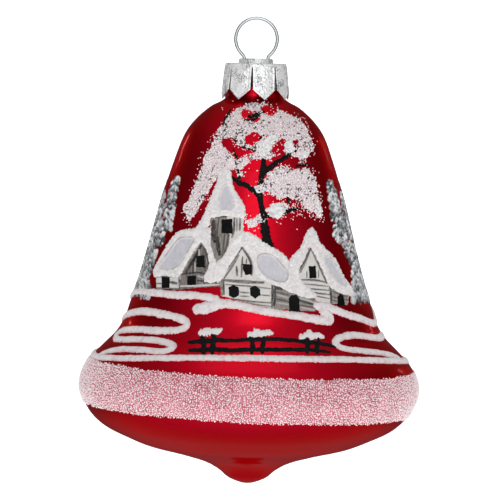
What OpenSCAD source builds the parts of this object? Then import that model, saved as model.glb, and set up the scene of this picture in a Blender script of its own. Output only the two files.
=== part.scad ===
// Christmas bell ornament: a blown glass bell, closed underneath, with a stamped
// crown cap, a spring-wire hanger and a winter village in raised snow and paint.
// Millimetres. +Z is up, -Y is the front, and the origin is the place where the
// bell hangs: the inside of the wire loop at its top.

/* [Glass bell] */
// Widest diameter, at the lip
bell_d = 80; // [66:1:96]
// Height from the tip underneath to the foot of the neck
bell_h = 92; // [76:1:111]
// Height of the lip's widest place above the tip
lip_z = 22.8; // [19:0.2:27.4]
// Diameter of the waist above the lip
waist_d = 57; // [47:1:68]
// Height of the waist above the tip
waist_z = 42.5; // [38:0.5:51]
// Diameter of the shoulder
shoulder_d = 37; // [31:1:44]
// Drop from the foot of the neck to the shoulder, where the side turns in
shoulder_drop = 15; // [10:1:20]
// Diameter of the round nose underneath
nose_d = 13.6; // [11:0.2:16.4]
// Height of the round nose underneath
nose_h = 3.3; // [2.7:0.1:4]
// Thickness of the blown wall
wall = 0.9; // [0.6:0.1:1.2]

/* [Neck and cap] */
// Outside diameter of the glass neck
neck_d = 13; // [12:0.2:16]
// Height of the straight neck
neck_h = 7; // [6.5:0.1:8.6]
// Thickness of the cap's sheet metal
sheet = 0.3; // [0.2:0.05:0.4]
// Gap all round between the neck and the cap
cap_gap = 0.4; // [0.3:0.05:0.6]
// Number of petals round the cap
petals = 8; // [6:1:10]
// How far the petals lean out from top to tip
petal_flare = 0.8; // [0.6:0.1:1]
// How far the petal tips reach below the foot of the neck
petal_drop = 1.3; // [1:0.1:1.4]
// Height of the point at the end of each petal
petal_point = 2.4; // [1.8:0.1:3]
// Width of a slit between two petals, at its top
slit_top = 0.25; // [0.15:0.05:0.4]
// Width of a slit where the petals start to taper
slit_foot = 0.7; // [0.5:0.1:0.9]
// Turn of the petals from the front
petal_turn = 16; // [0:1:44]
// Diameter of the raised middle of the cap
boss_d = 8; // [7.6:0.1:9]
// Height of the raised middle of the cap
boss_h = 1.1; // [0.8:0.1:1.4]

/* [Hanger] */
// Wire diameter
wire_d = 0.8; // [0.7:0.05:0.96]
// Inside diameter of the hanging loop
loop_d = 9; // [8:0.1:11]
// Distance between the two legs where they pass the cap
leg_gap = 5.6; // [5:0.1:5.8]
// Lean of the legs between the cap and the loop
leg_lean = 42; // [36:1:46]
// Radius of the bend just above the cap, on the wire's middle
bend_r = 0.8; // [0.6:0.1:1]
// How far the wire can be pushed up through the cap
hanger_travel = 4; // [2:0.5:4]
// Spread of the legs inside the neck
leg_spread = 25; // [20:1:35]
// Radius of the curl at the foot of each leg
curl_r = 1.2; // [0.8:0.1:1.4]
// Radial clearance of the wire in the cap's holes and of its feet in the neck
wire_clear = 0.05; // [0.02:0.01:0.1]

/* [Raised decoration] */
// Thickness of the glitter band round the lip
band_t = 0.45; // [0.3:0.05:0.6]
// Lower edge of the glitter band
band_low = 18; // [15:0.5:20]
// Upper edge of the glitter band
band_high = 28.2; // [25:0.2:29.4]
// Tilt of the hand-laid glitter band, left side up
band_tilt = 1.5; // [0:0.1:2]
// Thickness of the glitter snow on the tree
tree_snow_t = 0.4; // [0.3:0.05:0.5]
// Thickness of the paste snow on the roofs
roof_snow_t = 0.4; // [0.3:0.05:0.5]
// Thickness of the painted walls, trunks and rails
paint_t = 0.15; // [0.1:0.05:0.25]
// Thickness of the fir sprays
fir_t = 0.25; // [0.15:0.05:0.35]
// Width of a piped snow line
line_w = 1.7; // [1.4:0.1:2]
// Height of a piped snow line
line_t = 0.6; // [0.4:0.1:0.8]

/* [Hidden] */
$fn = 180;

// The picture is drawn for a bell of this waist, this height and this upper edge of the
// glitter band. It stretches sideways with the waist, and upwards from the band's edge.
drawn_waist = 57;
drawn_height = 92;
drawn_band = 28.2;
spread = waist_d / drawn_waist;
rise = (bell_h - band_high) / (drawn_height - drawn_band);
function up(height) = band_high + (height - drawn_band) * rise;

// The scene is painted a little askew: left side down about this height, and aside.
askew = 0.03;
level_height = 55;
aside = 0.4;
function across(height) = aside + askew * (level_height - height);

// ---- outline of the glass: heights count up from the tip ----

// Where an outline passes between two named places: shares of the way in and up.
lip_under = [[0.11, 0.10], [0.31, 0.20], [0.52, 0.29], [0.68, 0.40], [0.83, 0.53], [0.94, 0.72]];
lip_over = [[0.14, 0.27], [0.42, 0.46], [0.72, 0.64], [0.90, 0.82]];
side_up = [[0.22, 0.19], [0.44, 0.42], [0.73, 0.75]];
crown = [[0.18, 0.37], [0.40, 0.61], [0.67, 0.80], [0.86, 0.88], [0.96, 0.94]];
curve_steps = 3;

nose = [nose_d / 2, nose_h];
lip = [bell_d / 2, lip_z];
waist = [waist_d / 2, waist_z];
shoulder = [shoulder_d / 2, bell_h - shoulder_drop];
neck = [neck_d / 2, bell_h];
neck_top = bell_h + neck_h;
bore_r = neck_d / 2 - wall;

function between(a, b, shares) = [for (s = shares) [a.x + (b.x - a.x) * s.x, a.y + (b.y - a.y) * s.y]];

stations = concat(
    [[0, 0], [nose.x * 0.62, nose.y * 0.38], nose], between(nose, lip, lip_under),
    [lip], between(lip, waist, lip_over), [waist], between(waist, shoulder, side_up),
    [shoulder], between(shoulder, neck, crown), [neck]
);

// Smooth curve through points: each span is a cubic whose ends run along its neighbours.
function span(a, b, c, d, t) = 0.5 * (2 * b + (c - a) * t + (2 * a - 5 * b + 4 * c - d) * t * t
    + (3 * b - a - 3 * c + d) * t * t * t);
function smooth_open(p, n, first, last) = concat(
    [for (i = [0 : len(p) - 2], k = [0 : n - 1])
        span(i == 0 ? first : p[i - 1], p[i], p[i + 1], i == len(p) - 2 ? last : p[i + 2], k / n)],
    [p[len(p) - 1]]
);
function smooth_closed(p, n) = [
    for (i = [0 : len(p) - 1], k = [0 : n - 1])
        span(p[(i + len(p) - 1) % len(p)], p[i], p[(i + 1) % len(p)], p[(i + 2) % len(p)], k / n)
];
function backwards(p) = [for (i = [len(p) - 1 : -1 : 0]) p[i]];

side = smooth_open(stations, curve_steps, [-stations[1].x, stations[1].y], [neck.x, neck.y + 2]);
side_r = [for (p = side) [p.y, p.x]];
function radius(z) = lookup(z, side_r);

// The outline moved out by t along its own normals; a minus t moves it in.
function along(i) = side[min(i + 1, len(side) - 1)] - side[max(i - 1, 0)];
function out(i) = i == 0 ? [0, -1] : i == len(side) - 1 ? [1, 0] : [along(i).y, -along(i).x] / norm(along(i));
function moved_out(t) = [for (i = [0 : len(side) - 1]) side[i] + t * out(i)];

// ---- frame: every module draws with its zero at the tip, and hung() moves it ----

boss_top = neck_top + sheet + boss_h;
leg_x = leg_gap / 2;
loop_r = loop_d / 2 + wire_d / 2;
bend_z = boss_top + 0.1;
lean_len = (loop_r * cos(leg_lean) - leg_x - bend_r * (1 - cos(leg_lean))) / sin(leg_lean);
loop_z = bend_z + bend_r * sin(leg_lean) + lean_len * cos(leg_lean) + loop_r * sin(leg_lean);
hang_z = loop_z + loop_d / 2;

module hung() { translate([0, 0, -hang_z]) children(); }

// ---- glass, cap and hanger ----

module glass_body() {
    inside = moved_out(-wall);
    // The inside starts on the axis, above the nose, and runs out at the top of the neck.
    kept = [for (p = inside) if (p.x > 0.5 && p.y > wall) p];
    color([0.62, 0.03, 0.1]) hung() rotate_extrude() polygon(concat(
        side, [[neck.x, neck_top], [bore_r, neck_top]], backwards(kept), [[0, wall]]
    ));
}

cap_r = neck_d / 2 + cap_gap + sheet;
tip_r = cap_r + petal_flare;
tip_z = bell_h - petal_drop;
cap_top = neck_top + sheet;
shank_z = cap_top - 0.8;

// One cut between two petals, drawn flat: a narrow slit that opens into a notch.
module petal_cut() {
    half = tip_r * tan(180 / petals);
    polygon([
        [-slit_top / 2, shank_z], [-slit_foot / 2, tip_z + petal_point], [-half, tip_z],
        [-half, tip_z - 1], [half, tip_z - 1], [half, tip_z],
        [slit_foot / 2, tip_z + petal_point], [slit_top / 2, shank_z]
    ]);
}

module crown_cap() {
    boss_r = boss_d / 2;
    color([0.86, 0.87, 0.88]) hung() difference() {
        rotate_extrude() polygon([
            [0, boss_top], [boss_r - sheet, boss_top], [boss_r, boss_top - sheet], [boss_r, cap_top],
            [cap_r - sheet, cap_top], [cap_r, cap_top - sheet], [tip_r, tip_z],
            [tip_r - sheet, tip_z], [cap_r - sheet, cap_top - 2 * sheet], [cap_r - sheet, neck_top],
            [boss_r - sheet, neck_top], [boss_r - sheet, boss_top - sheet], [0, boss_top - sheet]
        ]);
        for (i = [0 : petals - 1]) rotate([0, 0, petal_turn + (i + 0.5) * 360 / petals])
            rotate([90, 0, 0]) linear_extrude(height = 2 * tip_r) petal_cut();
        for (x = [-leg_x, leg_x]) translate([x, 0, neck_top])
            cylinder(r = wire_d / 2 + wire_clear, h = 2 * boss_h);
    }
}

// Bent wire lies in the plane of the loop. A path is a list of [x, height, heading], and
// each ring of the wire's skin stands square to its heading.
wire_sides = 12;
function arc_path(centre, r, from, to, n) = let (hand = to > from ? 90 : -90)
    [for (i = [0 : n]) let (a = from + (to - from) * i / n)
        [centre.x + r * cos(a), centre.y + r * sin(a), a + hand]];
function mirrored(path) = [for (i = [len(path) - 2 : -1 : 0]) [-path[i].x, path[i].y, -path[i].z]];

module bent_wire(path) {
    m = wire_sides;
    rings = len(path);
    points = [for (q = path, k = [0 : m - 1]) let (a = k * 360 / m, in = wire_d / 2 * cos(a))
        [q.x - in * sin(q.z), wire_d / 2 * sin(a), q.y + in * cos(q.z)]];
    polyhedron(points, concat(
        [[for (k = [m - 1 : -1 : 0]) k]],
        [for (i = [0 : rings - 2], k = [0 : m - 1]) let (a = i * m + k, b = i * m + (k + 1) % m)
            [a, b, b + m, a + m]],
        [[for (k = [0 : m - 1]) (rings - 1) * m + k]]
    ), convexity = 6);
}

// Above the cap each leg bends out a little, then runs straight on to the loop.
half_loop = concat(
    arc_path([leg_x + bend_r, bend_z], bend_r, 180, 180 - leg_lean, 5),
    arc_path([0, loop_z], loop_r, -leg_lean, 90, 18)
);
// Below the cap it runs down for the travel, spreads to the neck's wall, and curls in at
// the foot so that it slides past the edge of the neck.
knee_z = boss_top - sheet - hanger_travel - 0.2;
knee_r = 2;
foot_x = bore_r - wire_d / 2 - wire_clear;
curl_x = foot_x - curl_r;
curl_turn = 70;
spread_x = leg_x + knee_r * (1 - cos(leg_spread));
spread_drop = knee_r * sin(leg_spread) + (curl_x + curl_r * cos(leg_spread) - spread_x) / tan(leg_spread);
sprung_leg = concat(
    arc_path([leg_x + knee_r, knee_z], knee_r, 180, 180 + leg_spread, 4),
    arc_path([curl_x, knee_z - spread_drop - curl_r * sin(leg_spread)], curl_r, leg_spread, -curl_turn, 7)
);

module hanger_wire() {
    color([0.72, 0.73, 0.75]) hung() union() {
        bent_wire(concat(half_loop, mirrored(half_loop)));
        for (hand = [0, 1]) mirror([hand, 0, 0]) {
            translate([leg_x, 0, knee_z]) cylinder(d = wire_d, h = bend_z - knee_z);
            bent_wire(sprung_leg);
        }
    }
}

// ---- raised decoration ----

// A skin on the glass, t thick, between two heights.
module skin(t, low, high) {
    over = moved_out(t);
    kept = [for (i = [0 : len(side) - 1]) if (side[i].y > low - 3 && side[i].y < high + 3) i];
    rotate_extrude() polygon(concat([for (i = kept) side[i]], backwards([for (i = kept) over[i]])));
}

// Points of a drawing, stretched to this bell: x is sideways from the centre line, y is height.
function drawn(points) = [for (p = points) [(p.x + across(p.y)) * spread, up(p.y + askew * p.x)]];

// A flat drawing laid on the glass at a turn from the front, t thick.
module laid(t, low, high, turn = 0) {
    intersection() {
        skin(t, up(low), up(high));
        rotate([0, 0, turn]) rotate([90, 0, 0]) linear_extrude(height = bell_d) children();
    }
}

// A stroke of the brush through [x, height, width] points.
function stroke_dir(s, i) = let (d = s[min(i + 1, len(s) - 1)] - s[max(i - 1, 0)])
    [d.x, d.y] / norm([d.x, d.y]);
function stroke_edge(s, i, hand) = let (d = stroke_dir(s, i))
    [s[i].x - hand * d.y * s[i].z / 2, s[i].y + hand * d.x * s[i].z / 2];
function stroke(s) = drawn(concat(
    [for (i = [0 : len(s) - 1]) stroke_edge(s, i, 1)],
    [for (i = [len(s) - 1 : -1 : 0]) stroke_edge(s, i, -1)]
));

module glitter_band() {
    color([0.9, 0.76, 0.79]) hung() intersection() {
        skin(band_t, band_low, band_high);
        rotate([0, band_tilt, 0]) translate([0, 0, band_low]) cylinder(r = bell_d, h = band_high - band_low);
    }
}

// A piped line of snow along a route of [turn from the front, height] points: a low round
// bead whose foot follows the glass at a hair's distance.
foot_gap = 0.06;
bead_angles = [0, 32, 62, 90, 118, 148, 180];
function on_glass(q) = [radius(q.y) * sin(q.x), -radius(q.y) * cos(q.x), q.y];
function outwards(q) = let (n = [sin(q.x), -cos(q.x), radius(q.y - 0.5) - radius(q.y + 0.5)]) n / norm(n);
function unit(v) = v / norm(v);
function end_taper(i, last) = let (k = min(i, last - i)) k == 0 ? 0.45 : k == 1 ? 0.85 : 1;
function bead_ring(q, i, w, t) =
    let (last = len(q) - 1, n = outwards(q[i]),
        run = unit(on_glass(q[min(i + 1, last)]) - on_glass(q[max(i - 1, 0)])),
        across = unit(cross(n, run)), k = end_taper(i, last))
    [for (a = bead_angles) on_glass(q[i]) + across * cos(a) * w / 2 * k + n * (foot_gap + sin(a) * t * k)];

function set_down(p) = let (r = radius(up(p.y)))
    [p.x + across(p.y) * cos(p.x) / r * 180 / PI, up(p.y) + askew * r * sin(p.x)];

module bead(route, w = line_w, t = line_t, steps = 3) {
    high = [for (p = route) set_down(p)];
    last = len(high) - 1;
    q = smooth_open(high, steps, 2 * high[0] - high[1], 2 * high[last] - high[last - 1]);
    m = len(bead_angles);
    rings = len(q);
    points = [for (i = [0 : rings - 1]) each bead_ring(q, i, w, t)];
    polyhedron(points, concat(
        [[for (k = [0 : m - 1]) k]],
        [for (i = [0 : rings - 2], k = [0 : m - 1]) each
            let (a = i * m + k, b = i * m + (k + 1) % m, c = a + m, d = b + m) [[a, c, b], [b, c, d]]],
        [[for (k = [m - 1 : -1 : 0]) (rings - 1) * m + k]]
    ), convexity = 6);
}

// A bead that runs right round the bell and meets itself.
module ring_bead(heights, w = line_w, t = line_t) {
    n = len(heights);
    high = [for (i = [0 : n - 1]) [i * 360 / n, up(heights[i])]];
    q = [for (i = [0 : n - 1], k = [0 : 5]) let (
        a = [high[i].x - 360 / n, high[(i + n - 1) % n].y], b = high[i],
        c = [high[i].x + 360 / n, high[(i + 1) % n].y], d = [high[i].x + 720 / n, high[(i + 2) % n].y])
        span(a, b, c, d, k / 6)];
    m = len(bead_angles);
    rings = len(q);
    points = [for (i = [0 : rings - 1]) let (nrm = outwards(q[i]),
        run = unit(on_glass(q[(i + 1) % rings]) - on_glass(q[(i + rings - 1) % rings])),
        across = unit(cross(nrm, run)))
        each [for (a = bead_angles) on_glass(q[i]) + across * cos(a) * w / 2 + nrm * (foot_gap + sin(a) * t)]];
    polyhedron(points, [for (i = [0 : rings - 1], k = [0 : m - 1]) each
        let (j = (i + 1) % rings, a = i * m + k, b = i * m + (k + 1) % m, c = j * m + k, d = j * m + (k + 1) % m)
        [[a, c, b], [b, c, d]]], convexity = 6);
}

snow = [0.95, 0.92, 0.92];
glitter = [0.88, 0.8, 0.82];
timber = [0.55, 0.5, 0.48];
ink = [0.1, 0.1, 0.11];
needles = [0.55, 0.57, 0.6];

module lower_snow_line() {
    heights = [32.5, 32.4, 32.1, 31.4, 30.5, 29.9, 29.8, 29.9, 30.2, 29.9,
        29.8, 29.9, 30, 30.1, 30.1, 30, 30.6, 31.5, 32.2];
    color(snow) hung() ring_bead(heights);
}

module left_snow_drift() {
    color(snow) hung() bead([[-100, 44], [-88, 45], [-72, 46.2], [-55, 46.4], [-41, 46.2], [-28, 46.2],
        [-19.5, 45.6], [-17, 44.6], [-19.5, 43.6], [-26.5, 43]]);
}
module centre_snow_drift() {
    color(snow) hung() bead([[-13.2, 44.2], [-8, 44], [-2, 43.4], [4, 42.9], [14, 42], [23.5, 41.2],
        [32, 40.4], [38.5, 39.9]]);
}
module right_snow_drift() {
    color(snow) hung() bead([[31.5, 43.6], [36, 43.2], [41, 42.6], [51, 41], [61.5, 39.8], [74, 38.3],
        [86, 38.5], [98, 41]], steps = 4);
}
module back_snow_drift() {
    color(snow) hung() bead([[102, 42.2], [116, 43.6], [132, 43.4], [150, 42.2], [168, 42.6], [186, 43.8],
        [204, 43.6], [222, 42.2], [238, 42.4], [257, 43.6]], steps = 5);
}
module left_snow_loops() {
    color(snow) hung() bead([[-92, 39.4], [-76, 41], [-61, 42], [-44, 41.7], [-34, 40.8], [-31, 39.6],
        [-34.5, 38.4], [-46, 38], [-60, 37.9], [-74, 37.1], [-78, 36], [-72, 35.2], [-58, 35.7], [-45, 35.9],
        [-36, 35.3], [-34, 34.3], [-38.5, 33.6], [-49, 33.7], [-60, 33.4], [-69, 32.6]], steps = 5);
}
module right_snow_loop() {
    color(snow) hung() bead([[86, 35.1], [72.7, 34.9], [58, 35.9], [48, 36.4], [40.7, 36], [36.9, 34.9],
        [39.5, 33.9], [46.5, 33.1], [58.3, 32.2], [68, 31.4]], steps = 5);
}

// ---- tree ----

crown_top_snow = smooth_closed(drawn([
    [2, 89.4], [-2.7, 88.4], [-5.4, 86.6], [-7.2, 84], [-9.2, 81.2], [-11.2, 77.4], [-12.8, 73.3],
    [-14.8, 68.6], [-16.4, 65.2], [-14, 63.6], [-11.9, 68.3], [-9, 73.4], [-6.4, 75], [-4.3, 75.2],
    [-2, 76.2], [1, 78.2], [4, 78.2], [6.2, 80.8], [8.4, 82], [10, 80.4], [11.2, 77.8], [13.2, 77.4],
    [14.2, 79.6], [13.2, 82.2], [11.3, 85.2], [8.4, 87.2], [5.4, 88.6]
]), 2);
crown_side_snow = smooth_closed(drawn([
    [4, 74.4], [7, 75.4], [10, 74.8], [12.6, 74.6], [14.2, 72.4], [15.1, 69.6], [15.8, 66.4],
    [15.9, 63.8], [14, 64.6], [11.8, 66.8], [7.4, 68.4], [4, 69.2], [3.4, 71.8]
]), 2);
crown_gap = smooth_closed(drawn([
    [-5.8, 81.4], [-3.6, 80.2], [-1.2, 79.8], [0.4, 81], [1.2, 82.6], [-2, 83.2], [-4.6, 83]
]), 2);
crown_puffs = [
    smooth_closed(drawn([[4.2, 66.9], [7.6, 67], [8.4, 65.8], [6.4, 64.6], [4.4, 64.9]]), 2),
    smooth_closed(drawn([[-2.2, 63], [-0.4, 64.1], [1.1, 63.9], [1, 62.6], [-0.8, 62]]), 2)
];
trunk = [[3, 57.9, 3.2], [2.7, 60, 2.1], [2.6, 64, 1.9], [2.1, 68.5, 1.3], [2.2, 72.5, 1.4], [2.6, 76.5, 1.4]];
left_limb = [[1.9, 69.3, 1.3], [-0.2, 70.9, 1], [-4.6, 72.5, 0.9]];
right_limb = [[2.3, 72.6, 1.2], [3.4, 75.2, 0.9], [5.6, 76.8, 0.8], [9.3, 78.5, 0.7]];

module crown_snow_drawing() {
    difference() {
        polygon(crown_top_snow);
        polygon(crown_gap);
    }
    polygon(crown_side_snow);
    for (puff = crown_puffs) polygon(puff);
}
module tree_snow() {
    color(glitter) hung() laid(tree_snow_t, 60, 90) crown_snow_drawing();
}
module tree_trunk() {
    color(ink) hung() laid(paint_t, 56, 80) difference() {
        union() {
            polygon(stroke(trunk));
            polygon(stroke(left_limb));
            polygon(stroke(right_limb));
        }
        crown_snow_drawing();
        middle_snow_drawing();
        church_snow_drawing();
    }
}

// ---- church and cottages ----

spire_snow = [[-6.3, 74], [-4.6, 74.2], [-4.2, 70.9], [-2.3, 66.6], [-2.2, 64.2], [-9.9, 64], [-10.1, 62],
    [-13, 61.6], [-11.2, 66.5], [-8.8, 71]];
tower_wall = [[-9.9, 64], [-2.2, 64.2], [-2.4, 60.9], [-4.9, 58.9], [-7.4, 55], [-8.5, 54.4], [-9.8, 56.5]];
module church_snow_drawing() { polygon(drawn(spire_snow)); }
module church_snow() {
    color(snow) hung() laid(roof_snow_t, 60, 75) difference() {
        church_snow_drawing();
        crown_snow_drawing();
        left_snow_drawing();
    }
}
module church_tower() {
    color(timber) hung() laid(paint_t, 53, 65) difference() {
        polygon(drawn(tower_wall));
        church_snow_drawing();
        left_snow_drawing();
        middle_snow_drawing();
    }
}

left_roof = [[-16.5, 60.8], [-13.2, 61.2], [-9.9, 61.4], [-9.9, 56.7], [-11.2, 58], [-12.2, 58.4],
    [-13.4, 57], [-15.4, 53.6], [-17.3, 50.4], [-23, 50.2], [-22.2, 52.7], [-18.8, 59]];
left_walls = [[-12.2, 58.4], [-11.2, 57.2], [-10, 54], [-10.6, 52], [-11.7, 50.3], [-11.2, 49], [-8.2, 48.7],
    [-17.1, 47.6], [-22.6, 47.4], [-22.6, 50.2], [-17.3, 50.4], [-15.4, 53.6]];
module left_snow_drawing() { polygon(drawn(left_roof)); }
module left_cottage_snow() {
    color(snow) hung() laid(roof_snow_t, 49, 62) left_snow_drawing();
}
module left_cottage() {
    color(timber) hung() laid(paint_t, 46, 59) difference() {
        polygon(drawn(left_walls));
        left_snow_drawing();
        middle_snow_drawing();
    }
}

middle_roof = [[-2.4, 60.6], [-5, 58.6], [-7.4, 54.6], [-9.6, 52.6], [-11.4, 50.8], [-11, 49.2], [-8.1, 49.4],
    [-3.2, 56.4], [-2.4, 57.2], [-0.4, 53.7], [-0.2, 51.6], [2.1, 49.8], [9.4, 46.6], [13.8, 45.6],
    [13.1, 47], [10.3, 49.4], [8.4, 52], [7.4, 54.6], [5.4, 56.4], [2.4, 57.8], [-0.3, 60]];
middle_walls = [[-2.4, 57.2], [-0.4, 53.7], [-0.2, 51.6], [2.1, 49.8], [9.4, 46.6], [14.1, 45.3], [14.1, 43.2],
    [9, 43.7], [3.9, 44.4], [-2, 45], [-7.4, 46.6], [-7.5, 50.2]];
module middle_snow_drawing() { polygon(drawn(middle_roof)); }
module middle_cottage_snow() {
    color(snow) hung() laid(roof_snow_t, 45, 61) middle_snow_drawing();
}
module middle_cottage() {
    color(timber) hung() laid(paint_t, 43, 58) difference() {
        polygon(drawn(middle_walls));
        middle_snow_drawing();
        right_snow_drawing();
    }
}

right_roof = [[13, 61], [14.2, 60.3], [15, 58], [18.6, 54], [20.7, 49.6], [23, 45.8], [21.7, 45.6],
    [17.8, 47.5], [15, 53.2], [13, 56.8], [10.6, 51.8], [9.2, 52.2], [8.3, 54], [10.7, 56.8]];
right_walls = [[13, 56.8], [15, 53.2], [17.8, 47.5], [21.9, 45.5], [21.6, 43.4], [17.6, 44.2], [14.6, 44.8],
    [14.4, 45.6], [11.2, 49.4], [10.6, 51.8]];
module right_snow_drawing() { polygon(drawn(right_roof)); }
module right_cottage_snow() {
    color(snow) hung() laid(roof_snow_t, 45, 61) right_snow_drawing();
}
module right_cottage() {
    color(timber) hung() laid(paint_t, 43, 57) difference() {
        polygon(drawn(right_walls));
        right_snow_drawing();
        middle_snow_drawing();
    }
}

// ---- firs at the sides ----

// A fir's outline: tiers of drooping boughs, each wider than the one above it.
function fir(foot, top, half, tiers) =
    let (tier = (top - foot) / tiers,
        right = [for (i = [0 : tiers - 1]) let (w = half * (i + 1) / tiers, z = top - tier * (i + 1))
            each [[w, z - tier * 0.18], [w * 0.55, z + tier * 0.12]]],
        left = [for (p = backwards(right)) [-p.x, p.y]])
    drawn(concat([[0, top]], right, left));

module firs(hand) {
    color(needles) hung() {
        laid(fir_t, 44, 72, hand * 79) polygon(fir(48, 71, 5.2, 7));
        laid(fir_t, 44, 66, hand * 103) polygon(fir(48, 64, 4.4, 5));
        laid(fir_t, 44, 72, hand * 126) polygon(fir(48, 69, 4.8, 6));
    }
}
module left_firs() { firs(-1); }
module right_firs() { firs(1); }

// ---- fence ----

rails = [
    [[-14.6, 35.9, 0.5], [-5, 36.2, 0.6], [5, 36.3, 0.6], [14, 35.1, 0.6], [18.2, 34, 0.5]],
    [[-14.6, 33.9, 0.5], [-5, 34, 0.6], [5, 34, 0.6], [13, 33.7, 0.6], [16.2, 33.1, 0.5]]
];
posts = [-11.5, -9.5, -0.4, 2, 12.2, 14.4];
post_caps = [[[-12.6, 38.3, 1.4], [-10.4, 38.5, 1.8], [-7.6, 38.2, 0.9]],
    [[-1.2, 38, 1.4], [0.8, 38.3, 1.8], [4.2, 38, 0.9]],
    [[11, 37.2, 1.4], [13.2, 37.3, 1.8], [15.8, 36.9, 0.9]]];
post_low = 33.5;
post_high = [37.3, 37.3, 37.1, 37.1, 36.2, 36.1];
module fence_snow_drawing() { for (cap = post_caps) polygon(stroke(cap)); }
module fence() {
    color(ink) hung() laid(paint_t, 31, 39) difference() {
        union() {
            for (rail = rails) polygon(stroke(rail));
            for (i = [0 : len(posts) - 1])
                polygon(stroke([[posts[i], post_low, 1], [posts[i], post_high[i], 0.9]]));
        }
        fence_snow_drawing();
    }
}
module fence_snow() {
    color(snow) hung() laid(roof_snow_t, 35, 40) fence_snow_drawing();
}

glass_body();
crown_cap();
hanger_wire();
glitter_band();
lower_snow_line();
left_snow_drift();
centre_snow_drift();
right_snow_drift();
back_snow_drift();
left_snow_loops();
right_snow_loop();
tree_trunk();
tree_snow();
church_tower();
church_snow();
left_cottage();
left_cottage_snow();
middle_cottage();
middle_cottage_snow();
right_cottage();
right_cottage_snow();
left_firs();
right_firs();
fence();
fence_snow();
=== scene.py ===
import math
import bmesh
import bpy
import numpy as np
from mathutils import Euler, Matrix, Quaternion, Vector


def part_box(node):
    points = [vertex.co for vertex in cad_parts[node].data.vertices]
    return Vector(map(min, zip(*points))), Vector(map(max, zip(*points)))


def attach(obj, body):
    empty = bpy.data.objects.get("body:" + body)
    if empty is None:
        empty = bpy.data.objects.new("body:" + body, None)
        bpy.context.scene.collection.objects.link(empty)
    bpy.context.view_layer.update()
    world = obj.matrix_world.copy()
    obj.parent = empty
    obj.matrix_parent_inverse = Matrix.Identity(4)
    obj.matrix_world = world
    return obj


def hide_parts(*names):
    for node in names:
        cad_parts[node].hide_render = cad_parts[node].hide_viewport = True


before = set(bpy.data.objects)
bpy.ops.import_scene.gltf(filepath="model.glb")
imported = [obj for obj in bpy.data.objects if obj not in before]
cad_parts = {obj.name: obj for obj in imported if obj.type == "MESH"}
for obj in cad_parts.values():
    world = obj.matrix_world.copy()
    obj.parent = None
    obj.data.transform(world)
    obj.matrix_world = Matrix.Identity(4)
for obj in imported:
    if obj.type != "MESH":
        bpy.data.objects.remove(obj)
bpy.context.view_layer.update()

# ---- Camera ----
# A long lens a metre away, a few degrees above the bell's middle, so that the
# whole ornament hangs in the picture with a narrow margin.
MM = 0.001
VIEW_WIDTH = 118 * MM
DISTANCE = 1.0
ELEVATION = math.radians(3.2)
ROLL = math.radians(1.25)
AIM_ASIDE, AIM_UP = -0.45 * MM, 0.1 * MM
SENSOR = 36

bell_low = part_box("glass_body")[0]
hanger_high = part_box("hanger_wire")[1]
middle = (bell_low.z + hanger_high.z) / 2
aim = np.array([AIM_ASIDE, 0, middle + AIM_UP])
lens = bpy.data.cameras.new("camera")
lens.sensor_width = SENSOR
lens.lens = SENSOR * DISTANCE / VIEW_WIDTH
lens.clip_start, lens.clip_end = 0.05, 20
camera = bpy.data.objects.new("camera", lens)
bpy.context.scene.collection.objects.link(camera)
camera.location = aim + DISTANCE * np.array([0, -math.cos(ELEVATION), math.sin(ELEVATION)])
level = Euler((math.pi / 2 - ELEVATION, 0, 0)).to_quaternion()
camera.rotation_euler = (level @ Quaternion((0, 0, 1), ROLL)).to_euler()
bpy.context.scene.camera = camera

# ---- Floor and light ----
# A pale floor that curves up into a wall behind the ornament, a broad soft light
# from the front, one from above, and two slim ones that edge the glass.
FLOOR_DROP = 0.16
FLOOR_HALF = 3.0
SWEEP_R = 0.8
BACK_Y = 1.6


def quads_between(rows, columns, closed=False):
    """Faces between the neighbours of a grid of corners; closed joins the last column to the first."""
    row = np.arange(rows - 1)[:, None]
    column = np.arange(columns if closed else columns - 1)[None, :]
    beside = (column + 1) % columns
    return np.stack([row * columns + column, row * columns + beside,
                     (row + 1) * columns + beside, (row + 1) * columns + column], -1).reshape(-1, 4)


def mesh_of(name, points, *face_sets):
    """A mesh of points in metres and of faces, one array of corner numbers for each number of corners."""
    counts = np.concatenate([np.full(len(f), f.shape[1]) for f in face_sets])
    corners = np.concatenate([f.ravel() for f in face_sets])
    mesh = bpy.data.meshes.new(name)
    mesh.vertices.add(len(points))
    mesh.vertices.foreach_set("co", np.ascontiguousarray(points, np.float32).ravel())
    mesh.loops.add(len(corners))
    mesh.loops.foreach_set("vertex_index", corners.astype(np.int32))
    mesh.polygons.add(len(counts))
    starts = np.concatenate([[0], np.cumsum(counts)[:-1]])
    mesh.polygons.foreach_set("loop_start", starts.astype(np.int32))
    mesh.polygons.foreach_set("loop_total", counts.astype(np.int32))
    mesh.update(calc_edges=True)
    mesh.validate()
    return mesh


def put(name, mesh, smooth=True):
    """The mesh as an object at the origin, shaded smooth or flat."""
    mesh.polygons.foreach_set("use_smooth", np.full(len(mesh.polygons), smooth))
    piece = bpy.data.objects.new(name, mesh)
    bpy.context.scene.collection.objects.link(piece)
    return piece


def finish_of(name, rough, metallic=0.0, coat=0.0, coat_rough=0.1, specular=0.5):
    """A material with one Principled shader: gives back the material, its nodes, its links and the shader."""
    material = bpy.data.materials.new(name)
    material.use_nodes = True
    nodes, links = material.node_tree.nodes, material.node_tree.links
    shader = nodes["Principled BSDF"]
    for socket, value in (("Roughness", rough), ("Metallic", metallic), ("Coat Weight", coat),
                          ("Coat Roughness", coat_rough), ("Specular IOR Level", specular)):
        shader.inputs[socket].default_value = value
    return material, nodes, links, shader


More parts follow.
